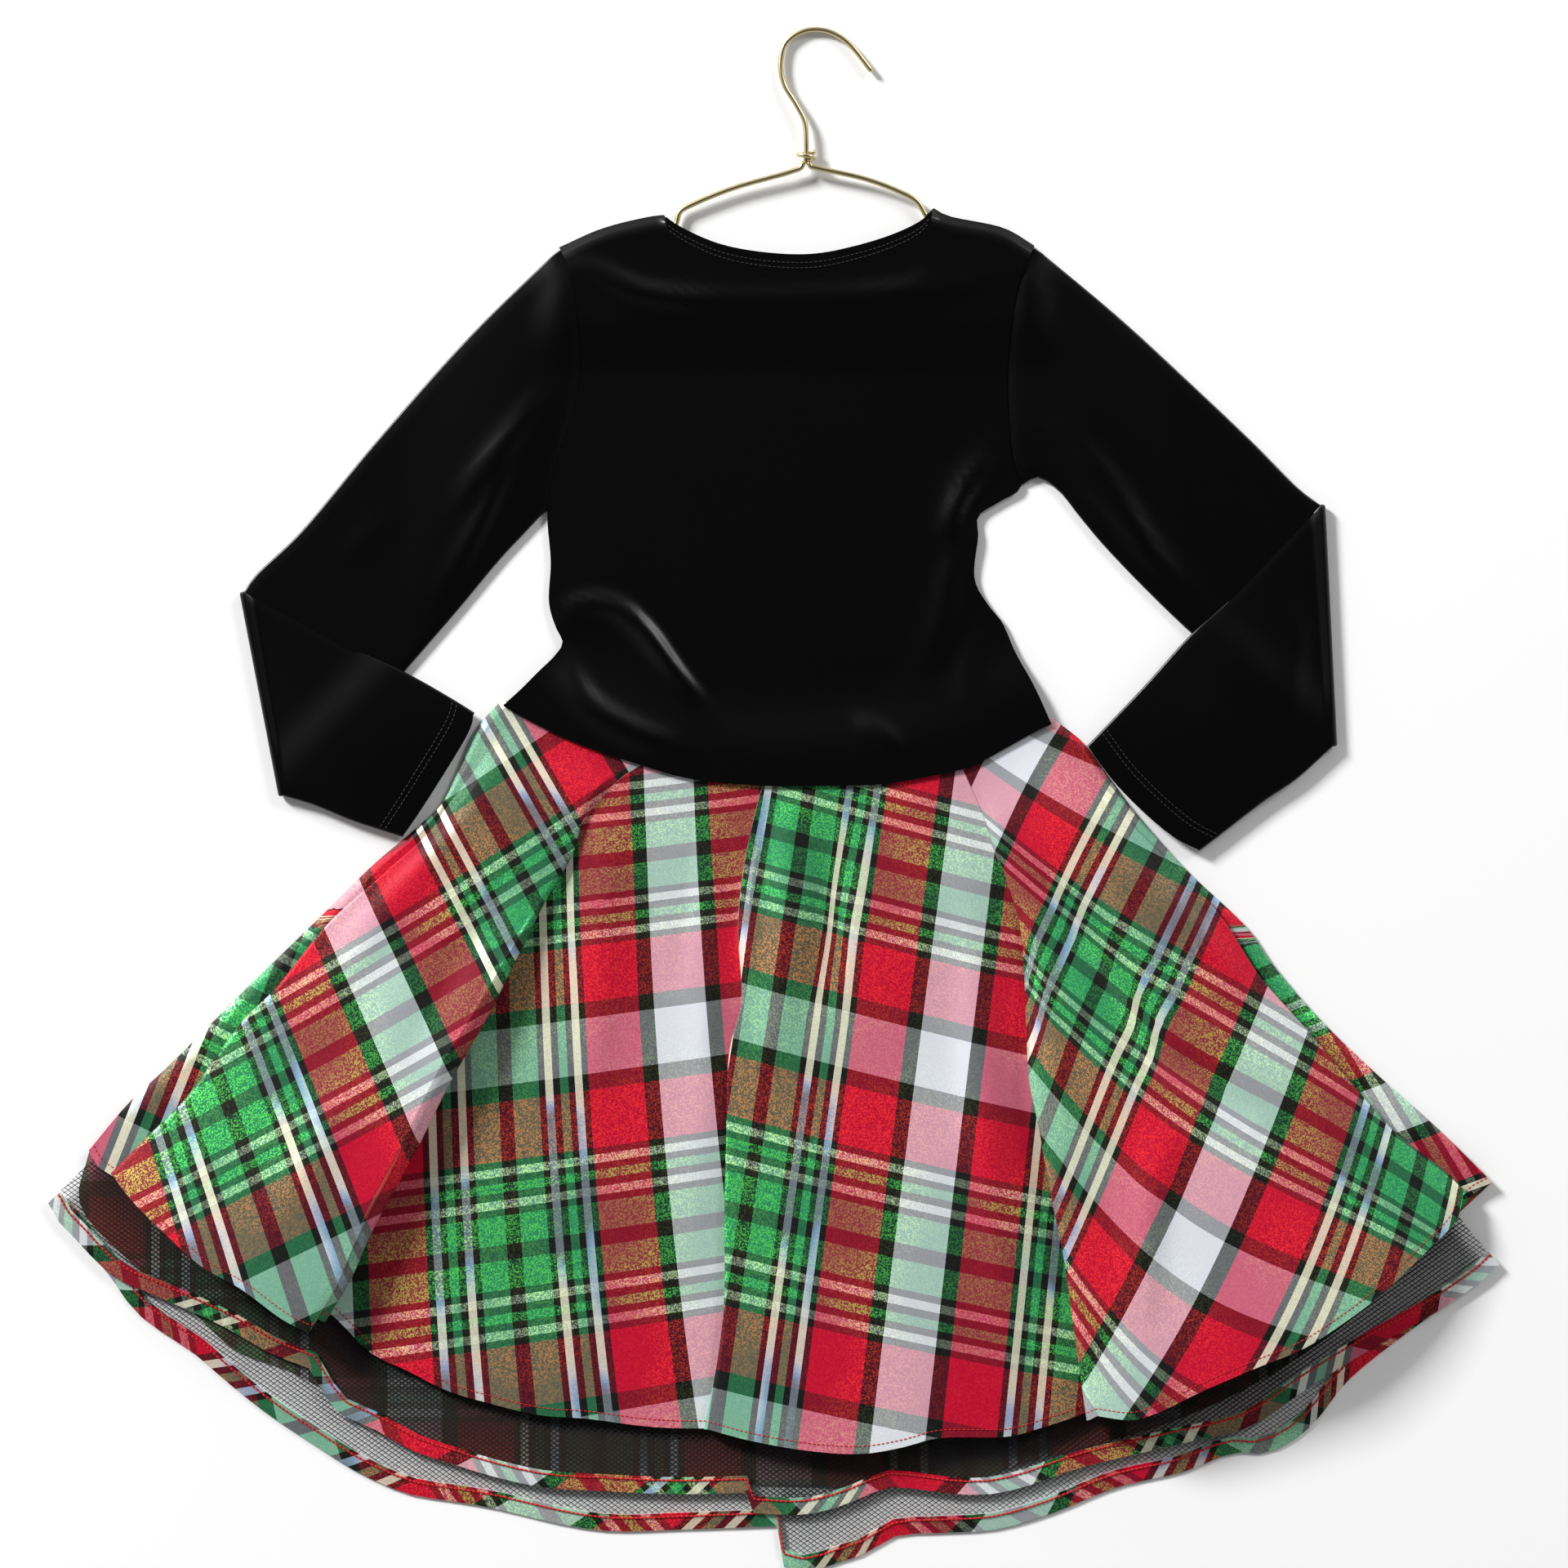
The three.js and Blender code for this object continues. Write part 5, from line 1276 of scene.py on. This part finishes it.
def back_skirt_grid():
    """Middle points of the back skirt with each one's place on the cloth."""
    lines = [curve(fold["line"]) for fold in FOLDS]
    sections = [fold_section(fold, lines[k], lines[fold["towards"]]) for k, fold in enumerate(FOLDS)]
    maps = [fitted_cloth(CROSSINGS[k], FIT_DEGREE[k]) for k in range(len(PANELS))]
    maps[0] = carried_on(maps[0], maps[1], LEFT_STRIP_FOLDED_FROM)
    maps[5] = carried_on(maps[5], maps[4], RIGHT_STRIP_FOLDED_FROM)
    rows = np.linspace(0, 1, SKIRT_ROWS + 1)

    def side_edge(points):
        line = curve(points)

        def edge(t):
            t = np.atleast_1d(t)
            plan = line(t)
            plan[:, 1] += WAIST_TUCK * (1 - t)
            curl = (BACK_SKIRT_Z - FRONT_NET_Z) * (1 - smooth((t - CURL_ENDS_FROM) / CURL_ENDS_OVER))
            return with_z(plan, BACK_SKIRT_Z - curl)
        return edge

    hidden = lambda k: lambda t: sections[k](t)[:, 0]
    visible = lambda k: lambda t: sections[k](t)[:, -1]
    bounds = [(side_edge(SKIRT_LEFT), hidden(0)), (visible(0), visible(1)), (hidden(1), hidden(2)),
              (visible(2), hidden(3)), (visible(3), visible(4)), (hidden(4), side_edge(SKIRT_RIGHT))]

    def panel_points(k, u, t):
        left, right = bounds[k]
        panel = PANELS[k]
        flat = lambda edge: lambda v: edge(np.ravel(v))[:, :2].reshape(*np.shape(v), 2)
        start, end = left(1)[0, :2], right(1)[0, :2]
        plan = patch(flat(left), flat(right), waist_between(left(0)[0, :2], right(0)[0, :2]),
                     curve([start, *panel["hem"], end]), u, t)
        ends = [edge(t[:, 0]) for edge in (left, right)]
        width = np.linalg.norm(ends[0] - ends[1], axis=1)[:, None]
        share = u
        if "stays_up_over" in panel:
            past = (FOLDS[panel["stays_up_over"]]["lap"] * t + STEP_DOWN_WIDTH) / width
            share = smooth((u - past) / (STEPPED_DOWN_BY - past))
        base = BACK_SKIRT_Z if "side" in panel else mix(ends[0][:, 2:], ends[1][:, 2:], share)
        crown = panel["arch"] * t ** 1.2
        if panel["arch"] > RAISED_ARCH:
            edges_up = (ends[0][:, 2:] + ends[1][:, 2:]) / 2 - BACK_SKIRT_Z - PLEAT_RISE
            crown = np.maximum(crown - np.maximum(0, edges_up), 0)
        z = base + crown * np.sin(math.pi * np.clip(u, 0, 1)) ** panel["fullness"]
        if "side" not in panel:
            calm = smooth(u / CALM_EDGES) * smooth((1 - u) / CALM_EDGES) * smooth(t / CALM_TOP)
            z = np.maximum(z + creased(plan, BACK_SKIRT_CREASES) * calm, BACK_SKIRT_Z - AIR / 2)
        return with_z(plan, z)

    t = rows[:, None]
    points, cloths = [], []
    for k, panel in enumerate(PANELS):
        left, right = (edge(rows) for edge in bounds[k])
        side = panel.get("side")
        width = np.linalg.norm(left - right, axis=1)
        curled = np.minimum(SEAM_CURL / width, 0.45)[:, None]
        start = curled if side == "left" else np.zeros_like(curled)
        end = 1 - curled if side == "right" else np.ones_like(curled)
        steps = panel["steps"]
        shares = np.arange(side != "left", steps + (side == "right")) / steps
        inner = panel_points(k, mix(start, end, shares[None]), np.broadcast_to(t, (len(rows), len(shares))))
        blocks = [left[:, None]] * (side == "left") + [inner] + [right[:, None]] * (side == "right")
        block = np.concatenate(blocks, 1)
        points.append(block)
        cloths.append(maps[k](drawn_in(block[..., :2])))
        if side != "right":
            section = sections[k](rows)
            over_right = FOLDS[k]["over"] == "right"
            top_map, under_map = (maps[k + 1], maps[k]) if over_right else (maps[k], maps[k + 1])
            cloth = top_map(drawn_in(section[..., :2]))
            cloth[:, 0] = under_map(section[:, 0, :2])
            points.append(section if over_right else section[:, ::-1])
            cloths.append(cloth if over_right else cloth[:, ::-1])
    return np.concatenate(points, 1), np.concatenate(cloths, 1)


def front_skirt_grid():
    """Middle points of the front skirt, which lies wrong side up under the petticoat."""
    edges = []
    for points in (SKIRT_LEFT, SKIRT_RIGHT):
        line = curve(points)

        def edge(t, line=line):
            plan = line(t)
            plan[..., 1] -= 4 * AIR * (1 - np.asarray(t))
            return plan
        edges.append(edge)
    left, right = edges
    top = waist_between(left(0), right(0), front_waist_rise)
    u = np.linspace(0, 1, 121)[None, :]
    v = np.linspace(0, 1, 61)[:, None]
    return with_z(patch(left, right, top, curve(FRONT_SKIRT_HEM), u, v), FRONT_SKIRT_Z)


class DRESS_OT_skirt(bpy.types.Operator):
    """Add the back and front of the plaid circle skirt with the back's folds and the hem stitching"""
    bl_idname = "dress.skirt"
    bl_label = "Skirt"

    def execute(self, context):
        settings, colours = context.scene.dress, context.scene.dress_colours
        right_side = shared("plaid right side", plaid_material, colours)
        wrong_side = shared("plaid wrong side", plaid_material, colours, dull=True)
        grid, cloth = back_skirt_grid()
        back, upper, normals = shell("skirt_back_cloth", grid, SKIRT_SHELL, [right_side, wrong_side],
                                     cloth, 1)
        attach(back, "root")
        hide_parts("skirt_back")

        grid = front_skirt_grid()
        front, _, _ = shell("skirt_front_cloth", grid, SKIRT_SHELL, [wrong_side, right_side],
                            grid[..., :2], 1)
        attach(front, "root")
        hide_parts("skirt_front")

        line = row_below_edge(upper, normals, settings.hem_stitch_inset / MM, range(upper.shape[1]),
                              from_last=True)
        thread = shared("red thread", thread_material, colours.red_thread)
        row = stitches("skirt_hem_stitching", [line], settings.stitch_pitch / MM, thread,
                       HEM_THREAD_RADIUS)
        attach(row, "root")
        return {"FINISHED"}


# ---- petticoat -----------------------------------------------------------------------------------
def petticoat_grids(hem, height, band_height, bias_shift):
    """Middle points of one layer of net and of the bias band that finishes its hem."""
    chain = np.vstack([curve(part["points"])(np.linspace(0, 1, part["steps"] + 1)) for part in hem])
    columns = np.linspace(0, 1, len(chain))
    left, right = curve(NET_LEFT), curve(NET_RIGHT)
    shift = [chain[0] - left(1), chain[-1] - right(1)]
    edges = [lambda t, line=line, move=move: line(t) + move * np.asarray(t)[..., None]
             for line, move in zip((left, right), shift)]
    top = waist_between(edges[0](0), edges[1](0))
    sheet = lambda v: patch(*edges, top, through(columns, chain), columns[None, :], v)
    length = np.linalg.norm(sheet(np.zeros((1, 1)))[0] - chain, axis=1)[None]
    at = lambda from_hem: sheet(1 - from_hem / length)
    rows = np.linspace(0, 1, 31)[:, None]
    from_hem = mix(length, BAND_WIDTH + 2 * AIR, rows)
    net = at(from_hem)
    gathers = GATHERED * smooth((from_hem - GATHERS_FROM) / GATHERS_FADE)
    band_rows = np.linspace(BAND_WIDTH, 0, 6)[:, None]
    band = at(band_rows + 0 * length)
    band_z = mix(height, band_height, 1 - band_rows / BAND_WIDTH)
    along = lengths_along(chain)[None] + BAND_START + 0 * band_rows
    band_cloth = np.stack([along, band_rows + bias_shift + 0 * along], -1)
    return with_z(net, height), gathers, with_z(band, band_z), band_cloth


class DRESS_OT_petticoat(bpy.types.Operator):
    """Add the two layers of the net petticoat with their bias-cut hem bands"""
    bl_idname = "dress.petticoat"
    bl_label = "Petticoat"

    def execute(self, context):
        settings, colours = context.scene.dress, context.scene.dress_colours
        net = shared("petticoat net", net_material, settings, colours)
        bias = shared("bias band", plaid_material, colours, bias=True)
        thread = shared("red thread", thread_material, colours.red_thread)
        for side, hem, height, band_height in (
                ("back", BACK_NET_HEM, BACK_NET_Z, BACK_NET_Z),
                ("front", FRONT_NET_HEM, FRONT_NET_Z, FRONT_BAND_Z)):
            net_grid, gathers, band_grid, band_cloth = petticoat_grids(
                hem, height, band_height, BAND_SHIFTS[side])
            layer, _, _ = shell(f"petticoat_{side}_net", net_grid, NET_SHELL, [net], net_grid[..., :2],
                                gathers=gathers)
            band, upper, normals = shell(f"petticoat_{side}_bias", band_grid, BAND_SHELL, [bias],
                                         band_cloth)
            for piece, node, slot in ((layer, f"petticoat_{side}", "net"),
                                      (band, f"petticoat_{side}_band", "bias_band")):
                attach(piece, "root")
                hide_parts(node)
            line = row_below_edge(upper, normals, BAND_WIDTH - BAND_STITCH_INSET,
                                  range(upper.shape[1]), from_last=True)
            row = stitches(f"petticoat_{side}_stitching", [line], settings.stitch_pitch / MM, thread,
                           BAND_THREAD_RADIUS, BAND_STITCH_SHARE)
            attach(row, "root")
        return {"FINISHED"}


# ---- hanger --------------------------------------------------------------------------------------
def wire_path(points):
    """A wire's middle line through points in plan, at the heights that it has along the hanger."""
    points = np.array(points, float)
    heights = np.interp(points[:, 1], *np.transpose(WIRE_HEIGHTS))
    return rounded(with_z(points, heights), 10)


def wrap_path():
    """The coil that the wire's end makes round the hook's neck."""
    share = np.linspace(0, 1, 60)
    angle = share * WRAP["turns"] * 2 * math.pi + math.radians(WRAP["starts_at"])
    x = WRAP["x"] + WRAP["half_width"] * np.cos(angle)
    y = WRAP["y"] + WRAP["climb"] * (share - 0.5)
    return np.stack([x, y, NECK_Z + WRAP["half_height"] * np.sin(angle)], -1)


class DRESS_OT_hanger(bpy.types.Operator):
    """Add the hanger's wires: hook, wound neck, two arms and the bar"""
    bl_idname = "dress.hanger"
    bl_label = "Hanger"

    def execute(self, context):
        gilt = shared("gilt wire", wire_material, context.scene.dress_colours)
        for node, path, radius in (("hanger_hook", wire_path(HOOK), WIRE_RADIUS),
                                   ("hanger_left_arm", wire_path(LEFT_ARM), WIRE_RADIUS),
                                   ("hanger_right_arm", wire_path(RIGHT_ARM), WIRE_RADIUS),
                                   ("hanger_bar", wire_path(BAR), WIRE_RADIUS),
                                   ("hanger_wrap", wrap_path(), WRAP_RADIUS)):
            wire = tube(f"{node}_wire", path, radius, [gilt])
            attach(wire, "root")
            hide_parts(node)
        return {"FINISHED"}


# ---- stage ---------------------------------------------------------------------------------------
class DRESS_OT_stage(bpy.types.Operator):
    """Add the pale surface, the soft light and the camera straight above"""
    bl_idname = "dress.stage"
    bl_label = "Stage"

    def execute(self, context):
        scene = context.scene
        camera = bpy.data.objects.new("camera", bpy.data.cameras.new("camera"))
        camera.location = (0, 0, CAMERA_HEIGHT)
        camera.data.sensor_width = CAMERA_SENSOR
        camera.data.lens = CAMERA_SENSOR * CAMERA_HEIGHT / FRAME_WIDTH
        camera.data.clip_end = 20
        scene.collection.objects.link(camera)
        scene.camera = camera

        floor_material, nodes, sockets = new_material("pale surface")
        set_sockets(sockets, nodes, base_color=grey(0.98), roughness=0.9, specular_ior_level=0.1)
        mesh = bpy.data.meshes.new("surface")
        corners = [(x * SURFACE_REACH, y * SURFACE_REACH, -SURFACE_DROP)
                   for x, y in ((-1, -1), (1, -1), (1, 1), (-1, 1))]
        mesh.from_pydata(corners, [], [(0, 1, 2, 3)])
        mesh.materials.append(floor_material)
        surface = bpy.data.objects.new("surface", mesh)
        scene.collection.objects.link(surface)

        for name, place, energy, size in LIGHTS:
            light = bpy.data.objects.new(name, bpy.data.lights.new(name, "AREA"))
            light.data.energy = energy
            light.data.size = size
            light.location = place
            light.rotation_euler = aim(place, (0, 0, 0))
            scene.collection.objects.link(light)
        scene.world = soft_room()
        scene.view_settings.view_transform = "Standard"
        scene.view_settings.look = "None"
        return {"FINISHED"}


def soft_room():
    """A pale room that is dimmer straight overhead, so that level velvet stays black."""
    world = bpy.data.worlds.new("soft room")
    world.use_nodes = True
    nodes = Nodes(world.node_tree)
    background = world.node_tree.nodes["Background"]
    way = nodes.add("ShaderNodeTexCoord").outputs["Generated"]
    height = nodes.add("ShaderNodeSeparateXYZ", {0: way}).outputs[2]
    colour = nodes.ramp(height, [(place, grey(tone)) for place, tone in ROOM_TONES])
    world.node_tree.links.new(colour, background.inputs[0])
    background.inputs[1].default_value = ROOM_STRENGTH
    return world


def aim(place, target):
    """The rotation that turns a light at place to face a target."""
    return (Vector(target) - Vector(place)).to_track_quat("-Z", "Y").to_euler()


class DRESS_PT_panel(bpy.types.Panel):
    """Lists the dress's pieces and sizes"""
    bl_idname = "DRESS_PT_panel"
    bl_label = "Plaid Dress"
    bl_space_type = "VIEW_3D"
    bl_region_type = "UI"
    bl_category = "Dress"

    def draw(self, context):
        for operator in OPERATORS:
            self.layout.operator(operator.bl_idname)
        for group in (context.scene.dress, context.scene.dress_colours):
            for name in group.__annotations__:
                self.layout.prop(group, name)


OPERATORS = (DRESS_OT_stage, DRESS_OT_bodice, DRESS_OT_sleeves, DRESS_OT_skirt, DRESS_OT_petticoat,
             DRESS_OT_hanger)
CLASSES = (DressSizes, DressColours, *OPERATORS, DRESS_PT_panel)


def register():
    for item in CLASSES:
        bpy.utils.register_class(item)
    bpy.types.Scene.dress = PointerProperty(type=DressSizes)
    bpy.types.Scene.dress_colours = PointerProperty(type=DressColours)


def unregister():
    del bpy.types.Scene.dress_colours
    del bpy.types.Scene.dress
    for item in reversed(CLASSES):
        bpy.utils.unregister_class(item)


def main():
    register()
    for operator in OPERATORS:
        getattr(bpy.ops.dress, operator.bl_idname.split(".")[1])()


if __name__ == "__main__":
    main()
